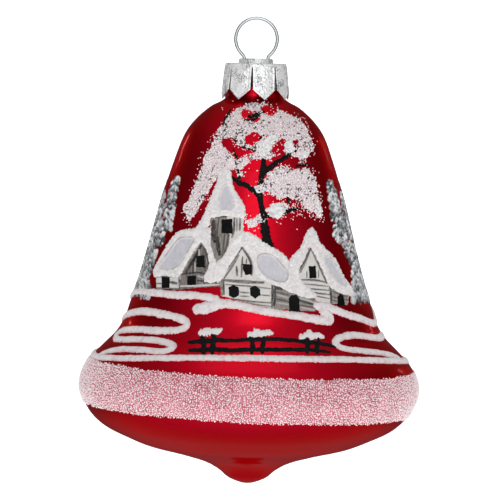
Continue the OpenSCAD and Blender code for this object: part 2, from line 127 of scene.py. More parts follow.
floor_z = bell_low.z - FLOOR_DROP
bend = np.linspace(0, math.pi / 2, 24)
run = np.concatenate([[-FLOOR_HALF], BACK_Y - SWEEP_R + SWEEP_R * np.sin(bend), [BACK_Y]])
rise = np.concatenate([[0], SWEEP_R * (1 - np.cos(bend)), [2 * FLOOR_HALF]])
across = np.linspace(-FLOOR_HALF, FLOOR_HALF, 3)
sweep = np.stack(np.broadcast_arrays(across[:, None], run, floor_z + rise), -1)
floor = put("floor", mesh_of("floor", sweep[::-1].reshape(-1, 3), quads_between(*sweep.shape[:2])))
paper, nodes, links, shader = finish_of("white_paper", rough=0.9, specular=0.1)
shader.inputs["Base Color"].default_value = (0.9, 0.9, 0.9, 1)
shader.inputs["Emission Color"].default_value = (1, 1, 1, 1)
shader.inputs["Emission Strength"].default_value = 0.75
floor.data.materials.append(paper)
floor.visible_glossy = False


def soft_light(name, place, width, height, power, spread=180):
    """A rectangular lamp that faces the middle of the ornament."""
    lamp = bpy.data.lights.new(name, "AREA")
    lamp.shape = "RECTANGLE"
    lamp.size, lamp.size_y, lamp.energy = width, height, power
    lamp.spread = math.radians(spread)
    holder = bpy.data.objects.new(name, lamp)
    bpy.context.scene.collection.objects.link(holder)
    holder.location = np.array([0, 0, middle]) + place
    holder.rotation_euler = (-Vector(place)).to_track_quat("-Z", "Y").to_euler()
    return holder


soft_light("front_light", np.array([0.12, -1.5, 0.35]), 0.8, 1.2, 5.0)
soft_light("top_light", np.array([0, -0.1, 1.2]), 0.9, 0.7, 1.5)
soft_light("left_strip", np.array([-0.72, 0.95, 0.3]), 0.010, 0.16, 0.02, 60)
soft_light("right_strip", np.array([0.72, 0.95, 0.3]), 0.010, 0.16, 0.02, 60)

# The room: brightest in front, dim at the sides so that the flanks go deep red, a
# little brighter above and low down behind.
world = bpy.data.worlds.new("studio")
world.use_nodes = True
bpy.context.scene.world = world
nodes, links = world.node_tree.nodes, world.node_tree.links
background = nodes["Background"]
background.inputs["Color"].default_value = (1, 1, 1, 1)
place = nodes.new("ShaderNodeTexCoord")
split = nodes.new("ShaderNodeSeparateXYZ")
links.new(place.outputs["Generated"], split.inputs[0])
total = None
for axis, first, last, low, high in (("Y", 0.1, -0.97, 0.13, 0.55),
                                     ("Z", 0.35, 0.95, 0.0, 0.25),
                                     ("Z", -0.2, -0.7, 0.0, 0.4)):
    part = nodes.new("ShaderNodeMapRange")
    part.interpolation_type = "SMOOTHSTEP"
    for socket, value in (("From Min", first), ("From Max", last), ("To Min", low), ("To Max", high)):
        part.inputs[socket].default_value = value
    links.new(split.outputs[axis], part.inputs["Value"])
    if total is None:
        total = part.outputs[0]
    else:
        both = nodes.new("ShaderNodeMath")
        links.new(total, both.inputs[0])
        links.new(part.outputs[0], both.inputs[1])
        total = both.outputs[0]
seen = nodes.new("ShaderNodeLightPath")
choice = nodes.new("ShaderNodeMix")
links.new(seen.outputs["Is Camera Ray"], choice.inputs["Factor"])
links.new(total, choice.inputs["A"])
choice.inputs["B"].default_value = 1.0
links.new(choice.outputs["Result"], background.inputs["Strength"])
bpy.context.scene.view_settings.view_transform = "Standard"

# ---- Blown glass bell ----
# One thin-walled bulb blown in a mould, closed underneath by an ogee with a round
# nose, silvered inside and dipped in a satin red lacquer. Its neck stays open.
TURNS = 256
RING_STEP = 0.55 * MM
WALL = 0.9 * MM
# Painted shade on the neck under the cap: its colour, and how far above the cap's lower edge it starts and
# blends in.
NECK_SHADE = (0.03, 0.002, 0.004, 1)
NECK_SHADE_FROM, NECK_SHADE_BLEND = 2.3 * MM, 0.9 * MM


def glass_outline():
    """Outer rings (height above the tip, radius) of the plain bell: the corners of its faces that look away
    from the axis."""
    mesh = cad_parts["glass_body"].data
    co = np.array([v.co for v in mesh.vertices], float)
    faces = np.array([list(p.vertices) for p in mesh.polygons])
    normal = np.array([p.normal for p in mesh.polygons], float)
    centre = co[faces].mean(1)
    outward = (normal[:, :2] * centre[:, :2]).sum(1) > 1e-3 * np.linalg.norm(centre[:, :2], axis=1)
    used = np.unique(faces[outward])
    rings = np.stack([co[used, 2] - bell_low.z, np.hypot(co[used, 0], co[used, 1])], 1)
    return np.unique(np.round(rings, 7), axis=0)


def smooth_run(points, step):
    """A smooth curve through points: on each span the cubic whose ends run along the neighbours, cut into
    even steps."""
    ends = np.concatenate([2 * points[:1] - points[1:2], points, 2 * points[-1:] - points[-2:-1]])
    a, b, c, d = ends[:-3], ends[1:-2], ends[2:-1], ends[3:]
    count = np.maximum(1, np.round(np.linalg.norm(c - b, axis=1) / step)).astype(int)
    which = np.repeat(np.arange(len(count)), count)
    t = (np.arange(len(which)) - np.repeat(np.cumsum(count) - count, count)) / count[which]
    t = t[:, None]
    a, b, c, d = a[which], b[which], c[which], d[which]
    curve = 0.5 * (2 * b + (c - a) * t + (2 * a - 5 * b + 4 * c - d) * t**2 + (3 * b - a - 3 * c + d) * t**3)
    return np.concatenate([curve, points[-1:]])


rings = glass_outline()
rings = rings[np.concatenate([[True], np.diff(rings[:, 0]) > 1e-6])]
neck_foot = rings[np.isclose(rings[:, 1], rings[-1, 1], atol=1e-6)][0, 0]
curved = rings[rings[:, 0] <= neck_foot + 1e-6]
mirrored = curved[1:2] * [1, -1]
side = smooth_run(np.concatenate([mirrored, curved]), RING_STEP)
side = side[int(np.argmin(np.abs(side[:, 1]))):]
side[0] = 0, 0
side = np.concatenate([side[np.concatenate([[True], np.diff(side[:, 0]) > 0])], rings[-1:]])
SIDE_HEIGHT, SIDE_R = side.T
neck_top, neck_r = rings[-1]
slope = np.gradient(SIDE_R, SIDE_HEIGHT)


def radius_at(height):
    """The bell's outer radius at a height above the tip."""
    return np.interp(height, SIDE_HEIGHT, SIDE_R)


def on_glass(turn, height, lift=0.0):
    """The place on the bell at a turn from the front (radians) and a height above the tip, lifted along the
    glass's normal."""
    steep = np.interp(height, SIDE_HEIGHT, slope)
    long = np.sqrt(1 + steep**2)
    r, z = radius_at(height) + lift / long, height - lift * steep / long
    return np.stack(np.broadcast_arrays(r * np.sin(turn), -r * np.cos(turn), bell_low.z + z), -1)


def tube(name, rings, tips):
    """A skin through rings of corners, rows by columns by three, closed at each end by a fan round a tip."""
    rows, columns = rings.shape[:2]
    near = np.arange(columns)
    far = (rows - 1) * columns + near
    fans = np.concatenate([np.stack([np.full(columns, rows * columns), np.roll(near, -1), near], 1),
                           np.stack([np.full(columns, rows * columns + 1), far, np.roll(far, -1)], 1)])
    return mesh_of(name, np.concatenate([rings.reshape(-1, 3), tips]),
                   quads_between(rows, columns, closed=True), fans)


def turned(name, outline):
    """An outline of (height, radius) that starts and ends on the bell's axis, turned about it."""
    angle = np.arange(TURNS) * 2 * math.pi / TURNS
    z, r = outline[:, :1] + bell_low.z, outline[:, 1:]
    grid = np.stack(np.broadcast_arrays(r * np.sin(angle), -r * np.cos(angle), z), -1)
    return tube(name, grid[1:-1], grid[[0, -1], 0])


# The inside follows every third ring of the outside, a wall's thickness in along the
# normal, and the neck's mouth is rounded over between the two.
thin = slice(2, -1, 3)
long = np.sqrt(1 + slope[thin] ** 2)
inner_r = SIDE_R[thin] - WALL / long
inner_z = SIDE_HEIGHT[thin] + WALL * slope[thin] / long
kept = (inner_r > 0.5 * MM) & (inner_z > WALL)
bore = neck_r - WALL
inside = np.stack([inner_z[kept], inner_r[kept]], 1)[::-1]
rim = WALL / 3
outline = np.concatenate([
    side[:-1], [[neck_top - rim, neck_r], [neck_top - rim / 3, neck_r - rim / 3], [neck_top, neck_r - rim],
                [neck_top, bore + rim], [neck_top - rim / 3, bore + rim / 3], [neck_top - rim, bore]],
    inside, [[WALL, 0]]])
glass = put("blown_glass", turned("blown_glass", outline))


def group_of(name, inputs, outputs):
    """An empty node group with named float or colour inputs and outputs: gives back the group, its nodes,
    links and ends."""
    group = bpy.data.node_groups.new(name, "ShaderNodeTree")
    for label, kind, value in inputs:
        socket = group.interface.new_socket(label, in_out="INPUT", socket_type=kind)
        socket.default_value = value
    for label, kind in outputs:
        group.interface.new_socket(label, in_out="OUTPUT", socket_type=kind)
    ends = group.nodes.new("NodeGroupInput"), group.nodes.new("NodeGroupOutput")
    return group, group.nodes, group.links, *ends


# Fine uneven grain, as in a dipped lacquer or a paste: one fine noise and one broad
# one, mixed into a mask between 0 and 1.
grain, nodes, links, ends_in, ends_out = group_of(
    "uneven_grain", [("Fine Scale", "NodeSocketFloat", 1500.0), ("Broad Scale", "NodeSocketFloat", 60.0),
                     ("Broad Share", "NodeSocketFloat", 0.5)], [("Mask", "NodeSocketFloat")])
where = nodes.new("ShaderNodeTexCoord")
fine, broad = nodes.new("ShaderNodeTexNoise"), nodes.new("ShaderNodeTexNoise")
mixed = nodes.new("ShaderNodeMix")
for texture, label in ((fine, "Fine Scale"), (broad, "Broad Scale")):
    links.new(where.outputs["Object"], texture.inputs["Vector"])
    links.new(ends_in.outputs[label], texture.inputs["Scale"])
    texture.inputs["Detail"].default_value = 3
links.new(ends_in.outputs["Broad Share"], mixed.inputs["Factor"])
links.new(fine.outputs["Fac"], mixed.inputs["A"])
links.new(broad.outputs["Fac"], mixed.inputs["B"])
links.new(mixed.outputs["Result"], ends_out.inputs["Mask"])


def grained(nodes, fine, broad, share):
    """The grain group placed in a material with its own values."""
    node = nodes.new("ShaderNodeGroup")
    node.node_tree = grain
    for label, value in (("Fine Scale", fine), ("Broad Scale", broad), ("Broad Share", share)):
        node.inputs[label].default_value = value
    return node.outputs["Mask"]


def ramp(nodes, links, mask, *stops):
    """A colour ramp over a mask; each stop is (place, colour)."""
    node = nodes.new("ShaderNodeValToRGB")
    for i, (place, colour) in enumerate(stops):
        stop = node.color_ramp.elements[i] if i < 2 else node.color_ramp.elements.new(place)
        stop.position, stop.color = place, (*colour, 1)
    links.new(mask, node.inputs["Fac"])
    return node.outputs["Color"]


def finish_grained(name, grain_sizes, colours, bump, rough_range=None, **others):
    """A finish whose colour, small bumps and, where a range is given, roughness follow the grain's mask. bump
    is the bumps' height in metres and their strength."""
    material, nodes, links, shader = finish_of(name, **others)
    mask = grained(nodes, *grain_sizes)
    links.new(ramp(nodes, links, mask, *colours), shader.inputs["Base Color"])
    if rough_range:
        rough = nodes.new("ShaderNodeMapRange")
        rough.inputs["To Min"].default_value, rough.inputs["To Max"].default_value = rough_range
        links.new(mask, rough.inputs["Value"])
        links.new(rough.outputs[0], shader.inputs["Roughness"])
    bumps = nodes.new("ShaderNodeBump")
    bumps.inputs["Distance"].default_value, bumps.inputs["Strength"].default_value = bump
    links.new(mask, bumps.inputs["Height"])
    links.new(bumps.outputs["Normal"], shader.inputs["Normal"])
    return material, nodes, links, shader


def blended(nodes, links, shader, blend, factor, colour):
    """Mixes the shader's own colour with another; factor and colour are each a socket or a plain value."""
    mix = nodes.new("ShaderNodeMix")
    mix.data_type, mix.blend_type = "RGBA", blend
    own = shader.inputs["Base Color"].links[0].from_socket
    for socket, value in ((mix.inputs[0], factor), (mix.inputs[6], own), (mix.inputs[7], colour)):
        if isinstance(value, bpy.types.NodeSocket):
            links.new(value, socket)
        else:
            socket.default_value = value
    links.new(mix.outputs[2], shader.inputs["Base Color"])


lacquer, nodes, links, shader = finish_grained(
    "red_lacquered_glass", (2600, 55, 0.55), ((0.3, (0.57, 0.0022, 0.0145)), (0.7, (0.73, 0.0034, 0.0215))),
    (0.00001, 0.25), (0.33, 0.43), rough=0.34, metallic=1.0, coat=0.2, coat_rough=0.04)
shader.inputs["Coat IOR"].default_value = 1.25
shader.inputs["Specular Tint"].default_value = (1.0, 0.05, 0.16, 1)

# Painted shade: the neck goes dark a little above the cap's lower edge, where the cap shades it.
where, split = nodes.new("ShaderNodeTexCoord"), nodes.new("ShaderNodeSeparateXYZ")
neck_shade_mask = nodes.new("ShaderNodeMapRange")
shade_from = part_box("crown_cap")[0].z + NECK_SHADE_FROM
neck_shade_mask.inputs["From Min"].default_value = shade_from
neck_shade_mask.inputs["From Max"].default_value = shade_from + NECK_SHADE_BLEND
links.new(where.outputs["Object"], split.inputs[0])
links.new(split.outputs["Z"], neck_shade_mask.inputs["Value"])
blended(nodes, links, shader, "MIX", neck_shade_mask.outputs[0], NECK_SHADE)
glass.data.materials.append(lacquer)
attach(glass, "glass")
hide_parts("glass_body")

# ---- Crown cap ----
# A crown of thin silvered sheet, stamped with a raised middle and eight pointed
# petals; each petal has a smooth raised border round a hammered field.
SHEET = 0.3 * MM
PETALS = 8
PETAL_TURN = math.radians(16)
BOSS_R = 4.0 * MM
CAP_R = 7.2 * MM
TIP_R = 8.0 * MM
POINT, POINT_SLANT = 2.4 * MM, 0.74
SLIT_TOP, SLIT_FOOT = 0.25 * MM, 0.7 * MM
WIRE_R = 0.4 * MM
WIRE_HOLE_R = WIRE_R + 0.05 * MM
LEG_X = 2.8 * MM
BORDER = 0.5 * MM
BORDER_RAISE = 0.13 * MM
HAMMER = 0.17 * MM
GROOVE, GROOVE_W = 0.1 * MM, 0.1 * MM
FOOT_R = 0.2 * MM
HALF_COLUMNS = 17
BEADS, BEAD_RAISE, BEAD_SPAN = 46, 0.06 * MM, 0.22 * MM

cap_low, cap_high = (corner.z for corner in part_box("crown_cap"))
plate_z = cap_high - 1.1 * MM
slit_z = plate_z - 0.8 * MM


def soft_noise(a, b, scale, seed, around=None):
    """Smooth noise over two coordinates: random lattice values a scale apart, joined by smooth steps; a may
    close on itself after its length around."""
    u, v = np.broadcast_arrays(np.asarray(a, float) / scale, np.asarray(b, float) / scale)
    columns = 257 if around is None else max(4, int(round(around / scale)))
    if around is not None:
        u = u * columns * scale / around
    table = np.random.default_rng(seed).uniform(-1, 1, (columns, 257))
    i, j = np.floor(u).astype(int), np.floor(v).astype(int)
    s, t = u - i, v - j
    s, t = s * s * (3 - 2 * s), t * t * (3 - 2 * t)
    i0, i1, j0, j1 = i % columns, (i + 1) % columns, j % 257, (j + 1) % 257
    return ((table[i0, j0] * (1 - s) + table[i1, j0] * s) * (1 - t)
            + (table[i0, j1] * (1 - s) + table[i1, j1] * s) * t)


def noise_sum(a, b, seed, *layers, around=None):
    """Smooth noises added up: each layer is (strength, scale), with its own seed."""
    return sum(strength * soft_noise(a, b, scale, seed + i, around)
               for i, (strength, scale) in enumerate(layers))


def step(low, high, x):
    """A smooth step from 0 at low to 1 at high."""
    t = np.clip((x - low) / (high - low), 0, 1)
    return t * t * (3 - 2 * t)


def crown_profile():
    """Rings of (radius, height) from the middle of the raised plate over its round edge, through the hollow
    at its foot, out over the cap's own edge and down to the petals' tips."""
    over, foot = np.linspace(0, math.pi / 2, 5), np.linspace(0, math.pi / 2, 4)
    rings = [(0.04 * MM, cap_high), *((r, cap_high) for r in np.arange(0.2, 3.75, 0.125) * MM)]
    rings += [(BOSS_R - SHEET + SHEET * math.sin(a), cap_high - SHEET + SHEET * math.cos(a)) for a in over]
    rings += [(BOSS_R, z) for z in np.linspace(cap_high - SHEET - 0.1 * MM, plate_z + FOOT_R, 4)]
    rings += [(BOSS_R + FOOT_R * (1 - math.cos(a)), plate_z + FOOT_R * (1 - math.sin(a))) for a in foot]
    rings += [(r, plate_z) for r in np.linspace(BOSS_R + 2 * FOOT_R, CAP_R - SHEET - FOOT_R, 14)]
    rings += [(CAP_R - SHEET + SHEET * math.sin(a), plate_z - SHEET + SHEET * math.cos(a)) for a in over]
    down = np.linspace(plate_z - SHEET - 0.08 * MM, cap_low, 62)
    share = (plate_z - SHEET - down) / (plate_z - SHEET - cap_low)
    return np.array(rings + list(zip(CAP_R + (TIP_R - CAP_R) * share, down)))


def with_wire_holes(points, quads):
    """Cuts the plate's two holes for the wire: the faces inside each are dropped, and the corners just round
    it are pulled on to its edge."""
    for x in (-LEG_X, LEG_X):
        away = np.hypot(points[:, 0] - x, points[:, 1])
        centre = points[quads].mean(1)
        inside_hole = np.hypot(centre[:, 0] - x, centre[:, 1]) < WIRE_HOLE_R
        quads = quads[~(inside_hole & (centre[:, 2] > cap_high - 1e-6))]
        on_plate = np.abs(points[:, 2] - cap_high) < 1e-7
        pulled = on_plate & (away < WIRE_HOLE_R + 0.03 * MM) & (away > 1e-9)
        scale = (WIRE_HOLE_R / away[pulled])[:, None]
        points[pulled, :2] = [x, 0] + (points[pulled, :2] - [x, 0]) * scale
    return points, quads


def crown_of_petals():
    """The cap's outer face: the profile's rings, each cut into eight petals. Across one petal the ring's
    points share its width evenly, and below the slit's top that width is what the two slits and the point
    leave. The petal's rim is raised, a groove runs inside it, and two sizes of noise dent the field."""
    rings = crown_profile()
    radius, z = rings[:, 0][:, None, None], rings[:, 1][:, None, None]
    sector = math.pi / PETALS
    per = 2 * HALF_COLUMNS + 1
    w = np.linspace(-1, 1, per)[None, None, :]
    middle_turn = (PETAL_TURN + np.arange(PETALS) * 2 * sector)[None, :, None]
    full = sector * radius
    gap = np.interp(-z, [-slit_z - 0.01 * MM, -slit_z, -(cap_low + POINT)], [0, SLIT_TOP / 2, SLIT_FOOT / 2])
    point = np.clip((z - cap_low) / POINT, 0, 1)
    half = np.where(z < cap_low + POINT, (sector * TIP_R - SLIT_FOOT / 2) * point + 0.02 * MM, full - gap)
    half = np.minimum(half, full)
    across = w * half
    turn = middle_turn + across / radius
    on_petal = step(plate_z - 0.3 * MM, plate_z - 0.9 * MM, z)
    from_side = half - np.abs(across)
    rim = np.where(z < cap_low + POINT, from_side * POINT_SLANT, from_side)
    lip = 1 - step(BORDER * 0.75, BORDER * 1.15, rim)
    dents = noise_sum(across + middle_turn * 40 * MM, np.broadcast_to(z, across.shape), 11,
                      (1, 0.52 * MM), (0.7, 0.27 * MM))
    groove = np.exp(-(((rim - BORDER * 1.2) / GROOVE_W) ** 2)) * GROOVE
    raised = on_petal * (lip * BORDER_RAISE + (1 - lip) * HAMMER * (np.abs(dents) - 0.4) - groove)
    beads = BEAD_RAISE * np.cos(turn * BEADS) * np.exp(-(((z - plate_z - 0.45 * MM) / BEAD_SPAN) ** 2))
    r = radius + raised + beads * (np.abs(radius - BOSS_R) < 0.01 * MM)
    grid = np.stack(np.broadcast_arrays(r * np.sin(turn), -r * np.cos(turn), z), -1)
    rows, columns = grid.shape[0], PETALS * per
    corner = (np.arange(rows - 1)[:, None, None] * columns + np.arange(PETALS)[None, :, None] * per
              + np.arange(per - 1)[None, None, :])
    quads = np.stack([corner, corner + columns, corner + columns + 1, corner + 1], -1).reshape(-1, 4)
    middle_ring = np.arange(columns)
    fan = np.stack([np.full(columns, rows * columns), middle_ring, np.roll(middle_ring, -1)], 1)
    points, quads = with_wire_holes(np.concatenate([grid.reshape(-1, 3), [[0, 0, cap_high]]]), quads)
    return mesh_of("crown", points, quads, fan)


def weld(mesh, distance):
    """Joins corners that lie together and drops faces that have shrunk to nothing."""
    work = bmesh.new()
    work.from_mesh(mesh)
    bmesh.ops.remove_doubles(work, verts=work.verts, dist=distance)
    bmesh.ops.dissolve_degenerate(work, edges=work.edges, dist=distance / 10)
    loose = [v for v in work.verts if not v.link_faces]
    bmesh.ops.delete(work, geom=loose, context="VERTS")
    work.to_mesh(mesh)
    work.free()
    return mesh


crown = put("stamped_crown", weld(crown_of_petals(), 0.002 * MM))
thick = crown.modifiers.new("sheet", "SOLIDIFY")
thick.thickness, thick.offset = SHEET, -1

silver = finish_grained(
    "stamped_silver_cap", (3500, 420, 0.4), ((0.40, (0.30, 0.31, 0.33)), (0.50, (1.0, 1.0, 1.0))),
    (0.00006, 0.6), (0.12, 0.34), rough=0.2, metallic=0.42)[0]
crown.data.materials.append(silver)
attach(crown, "cap")
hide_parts("crown_cap")

# ---- Spring-wire hanger ----
# One length of bright steel wire bent to a ring; its two legs go down through the
# cap, spring outwards inside the neck and end in a curl.
LOOP_R = 4.9 * MM
LEAN = math.radians(42)
BEND_R = 0.8 * MM
KNEE_R = 2.0 * MM
SPREAD = math.radians(25)
CURL_R = 1.2 * MM
CURL_TURN = math.radians(70)
TRAVEL = 4 * MM
WIRE_SIDES = 20
END_REACH, TIP_REACH = 0.6, 0.15

loop_z = hanger_high.z - WIRE_R - LOOP_R
bend_z = cap_high + 0.1 * MM
knee_z = cap_high - SHEET - TRAVEL - 0.2 * MM
foot_x = bore - WIRE_R - 0.05 * MM


def arc(x, z, radius, first, last, count):
    """Points of an arc round (x, z) in the plane of the ring."""
    a = np.linspace(first, last, count)
    return np.stack([x + radius * np.cos(a), z + radius * np.sin(a)], 1)


curl_x = foot_x - CURL_R
spread_x = LEG_X + KNEE_R * (1 - math.cos(SPREAD))
drop = KNEE_R * math.sin(SPREAD) + (curl_x + CURL_R * math.cos(SPREAD) - spread_x) / math.tan(SPREAD)
half_wire = np.concatenate([
    arc(0, loop_z, LOOP_R, math.pi / 2, -LEAN, 56),
    arc(LEG_X + BEND_R, bend_z, BEND_R, math.pi - LEAN, math.pi, 8),
    np.stack([np.full(14, LEG_X), np.linspace(bend_z, knee_z, 16)[1:-1]], 1),
    arc(LEG_X + KNEE_R, knee_z, KNEE_R, math.pi, math.pi + SPREAD, 8),
    arc(curl_x, knee_z - drop - CURL_R * math.sin(SPREAD), CURL_R, SPREAD, -CURL_TURN, 14)])
wire_path = np.concatenate([half_wire[::-1] * [-1, 1], half_wire[1:]])


def wire_along(name, path, radius):
    """A round wire along a path in the plane of the ring: circles square to the path, closed by two rounded
    ends, each of two smaller circles and a tip."""
    run = np.gradient(path, axis=0)
    run /= np.linalg.norm(run, axis=1)[:, None]
    short = 1 - np.array([0.5, 0.85])
    smaller = np.sqrt(1 - short**2)
    taper = np.concatenate([smaller, np.ones(len(path)), smaller[::-1]])
    first = path[0] - run[0] * radius * END_REACH * short[:, None]
    last = path[-1] + run[-1] * radius * END_REACH * short[::-1][:, None]
    path = np.concatenate([first, path, last])
    run = np.concatenate([run[:1]] * 2 + [run] + [run[-1:]] * 2)
    a = np.arange(WIRE_SIDES) * 2 * math.pi / WIRE_SIDES
    r = radius * taper[:, None]
    x = path[:, :1] - r * np.cos(a) * run[:, 1:]
    z = path[:, 1:] + r * np.cos(a) * run[:, :1]
    rings = np.stack([x, np.broadcast_to(r * np.sin(a), x.shape), z], -1)
    tips = path[[0, -1]] + run[[0, -1]] * [[-1], [1]] * radius * TIP_REACH
    return tube(name, rings, np.insert(tips, 1, 0, axis=1))


hanger = put("wire_hanger", wire_along("wire_hanger", wire_path, WIRE_R))
steel = finish_grained(
    "spring_wire", (5200, 300, 0.35), ((0.25, (0.50, 0.54, 0.56)), (0.7, (0.68, 0.72, 0.74))), (0.00001, 0.3),
    rough=0.24, metallic=1.0)[0]
hanger.data.materials.append(steel)
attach(hanger, "hanger")
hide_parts("hanger_wire")

# ---- Glitter band ----
# Coarse clear glitter strewn by hand on a band of rose adhesive round the lip. The
# band runs a little higher on the left, and its edges are uneven.
BAND_LOW, BAND_HIGH = 18.0 * MM, 28.2 * MM
BAND_TILT = math.radians(1.5)
BAND_COAT = 0.17 * MM
GRAIN_PITCH = 0.47 * MM
ROW_SHARE = 0.87
SINK = 0.05 * MM
BED = 0.09 * MM


def relief(name, place, u, v, lift, paint=None, around=False):
    """A thin closed skin on the glass, over a grid of u and v. Its upper face is place(u, v, lift), kept
    wherever the lift is above the sunk level, and its under face lies a little inside the glass; walls
    join the two along the outline. u can run right round."""
    rows, columns = lift.shape
    count = columns if around else columns - 1
    left, right = np.arange(count), np.arange(1, count + 1) % columns
    raised = lift > -SINK
    kept = raised[:-1][:, left] | raised[:-1][:, right] | raised[1:][:, left] | raised[1:][:, right]
    for _ in range(2):  # no two faces of the outline may meet at a corner only
        slant = kept[:-1, :-1] & kept[1:, 1:] & ~kept[:-1, 1:] & ~kept[1:, :-1]
        other = ~kept[:-1, :-1] & ~kept[1:, 1:] & kept[:-1, 1:] & kept[1:, :-1]
        kept[:-1, 1:] |= slant
        kept[:-1, :-1] |= other
    r, c = np.nonzero(kept)
    top = np.stack([r * columns + left[c], r * columns + right[c],
                    (r + 1) * columns + right[c], (r + 1) * columns + left[c]], 1)
    total = rows * columns
    padded = np.pad(kept, ((1, 1), (0, 0)))
    beside = np.pad(kept, ((0, 0), (1, 1)), mode="wrap") if around else np.pad(kept, ((0, 0), (1, 1)))
    open_sides = (~padded[:-2], ~beside[:, 2:], ~padded[2:], ~beside[:, :-2])
    walls = []
    for i, open_side in enumerate(open_sides):
        edge = top[open_side[r, c]]
        a, b = edge[:, i], edge[:, (i + 1) % 4]
        walls.append(np.stack([a + total, b + total, b, a], 1))
    faces = np.concatenate([top, top[:, ::-1] + total, *walls])
    points = np.concatenate([place(u, v, np.maximum(lift, -SINK)).reshape(-1, 3),
                             place(u, v, np.full(lift.shape, -BED)).reshape(-1, 3)])
    used, index = np.unique(faces, return_inverse=True)
    mesh = mesh_of(name, points[used], index.reshape(faces.shape))
    if paint is not None:
        tint(mesh, np.concatenate([paint.reshape(-1, 3)] * 2)[used])
    return put(name, mesh)


def tint(mesh, colours):
    """Stores one colour for each corner of the mesh, as the attribute that the finishes read."""
    layer = mesh.attributes.new("paint", "FLOAT_COLOR", "POINT")
    opaque = np.concatenate([colours, np.ones((len(colours), 1))], 1)
    layer.data.foreach_set("color", opaque.astype(np.float32).ravel())


def grains(name, turn, height, lift, size, colours, seed):
    """Crystals on the glass: six corners on three axes of uneven length, turned at random, so eight small
    facets each."""
    rng = np.random.default_rng(seed)
    count = len(turn)
    centre = on_glass(turn, height, lift)
    axes = np.linalg.qr(rng.normal(size=(count, 3, 3)))[0]
    axes *= np.sign(np.linalg.det(axes))[:, None, None]
    half = 0.5 * size[:, None] * rng.uniform(0.62, 1.1, (count, 3))
    arms = axes * half[:, :, None]
    arms = np.stack([arms, -arms], 2).reshape(count, 6, 3) * rng.uniform(0.8, 1.1, (count, 6, 1))
    out = on_glass(turn, height, 1 * MM) - on_glass(turn, height)
    out /= np.linalg.norm(out, axis=1)[:, None]
    high = (arms * out[:, None]).sum(2)
    room = np.maximum(size * 0.42, 1e-6)[:, None]
    arms -= out[:, None] * (np.maximum(high - room, 0) + np.minimum(high + room, 0))[:, :, None]
    corners = np.array([[0, 2, 4], [2, 1, 4], [1, 3, 4], [3, 0, 4], [2, 0, 5], [1, 2, 5], [3, 1, 5],
                        [0, 3, 5]])
    faces = (np.arange(count)[:, None, None] * 6 + corners).reshape(-1, 3)
    mesh = mesh_of(name, (centre[:, None] + arms).reshape(-1, 3), faces)
    tint(mesh, np.repeat(colours, 6, axis=0))
    return put(name, mesh, smooth=False)


def strewn(low, high, pitch, seed):
    """Places a pitch apart and shaken, in rows round the glass that stand evenly along its outline."""
    rng = np.random.default_rng(seed)
    run = np.concatenate([[0], np.cumsum(np.hypot(np.diff(SIDE_R), np.diff(SIDE_HEIGHT)))])
    first, last = np.interp([low, high], SIDE_HEIGHT, run)
    rows = np.interp(np.arange(first, last, pitch * ROW_SHARE), run, SIDE_HEIGHT)
    count = np.round(2 * math.pi * radius_at(rows) / pitch).astype(int)
    height = np.repeat(rows, count)
    start = np.repeat(np.cumsum(count) - count, count)
    along = np.arange(len(height)) - start + rng.uniform(0, 1, len(height)) * 0.8
    rise = np.gradient(SIDE_HEIGHT, run)[np.clip(np.searchsorted(SIDE_HEIGHT, height), 0, len(run) - 1)]
    return (along * 2 * math.pi / np.repeat(count, count),
            height + rng.uniform(-0.4, 0.4, len(height)) * pitch * rise)


def band_edge(turn, height, seed):
    """The height of an edge of the band: level on a plane that tilts left side up, and frayed."""
    radius = radius_at(height)
    frayed = noise_sum(turn * radius, 0, seed, (0.10 * MM, 0.6 * MM), (0.14 * MM, 9 * MM),
                       around=2 * math.pi * radius)
    return height - math.sin(BAND_TILT) * radius * np.sin(turn) + frayed


turn = np.arange(720) * 2 * math.pi / 720
share = np.linspace(0, 1, 56)[:, None]
edges = (BAND_LOW, 21), (BAND_HIGH, 23)
low, high = (band_edge(turn, *edge) for edge in edges)
v = low + share * (high - low)
lift = BAND_COAT * step(0, 0.03, np.minimum(share, 1 - share))
lift = lift * (1 + 0.3 * soft_noise(turn * 40 * MM, v, 0.8 * MM, 25)) - 0.02 * MM
lift[[0, -1]] = -SINK
band_coat = relief("rose_adhesive", on_glass, turn, v, lift, around=True)

turn, height = strewn(BAND_LOW - 1.2 * MM, BAND_HIGH + 1.2 * MM, GRAIN_PITCH, 31)
rng = np.random.default_rng(32)
low, high = (band_edge(turn, *edge) for edge in edges)
inside_band = (height > low - 0.1 * MM) & (height < high + 0.1 * MM) & (rng.uniform(size=len(turn)) < 0.97)
turn, height = turn[inside_band], height[inside_band]
size = GRAIN_PITCH * rng.uniform(0.8, 1.2, len(turn))
white_share = rng.uniform(size=(len(turn), 1)) ** 0.6
crystal_colours = (1 - white_share) * [0.92, 0.76, 0.79] + white_share * [1.0, 0.98, 0.98]
band_grains = grains("band_glitter", turn, height, BAND_COAT + 0.03 * MM, size, crystal_colours, 33)


def painted(name, rough, bump_height, fine, broad, **others):
    """A finish whose colour is the piece's own paint attribute, mottled and roughened by the grain."""
    material, nodes, links, shader = finish_grained(
        name, (fine, broad, 0.4), ((0.25, (0.84, 0.84, 0.85)), (0.65, (1, 1, 1))), (bump_height, 0.5),
        (rough - 0.08, rough + 0.08), rough=rough, **others)
    colour = nodes.new("ShaderNodeAttribute")
    colour.attribute_name = "paint"
    blended(nodes, links, shader, "MULTIPLY", 1.0, colour.outputs["Color"])
    return material


def joins_bell(piece, material, slot, *nodes_replaced):
    """Gives a coat its finish and fixes it to the glass, in place of the plain solids that it stands for."""
    piece.data.materials.append(material)
    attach(piece, "glass")
    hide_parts(*nodes_replaced)


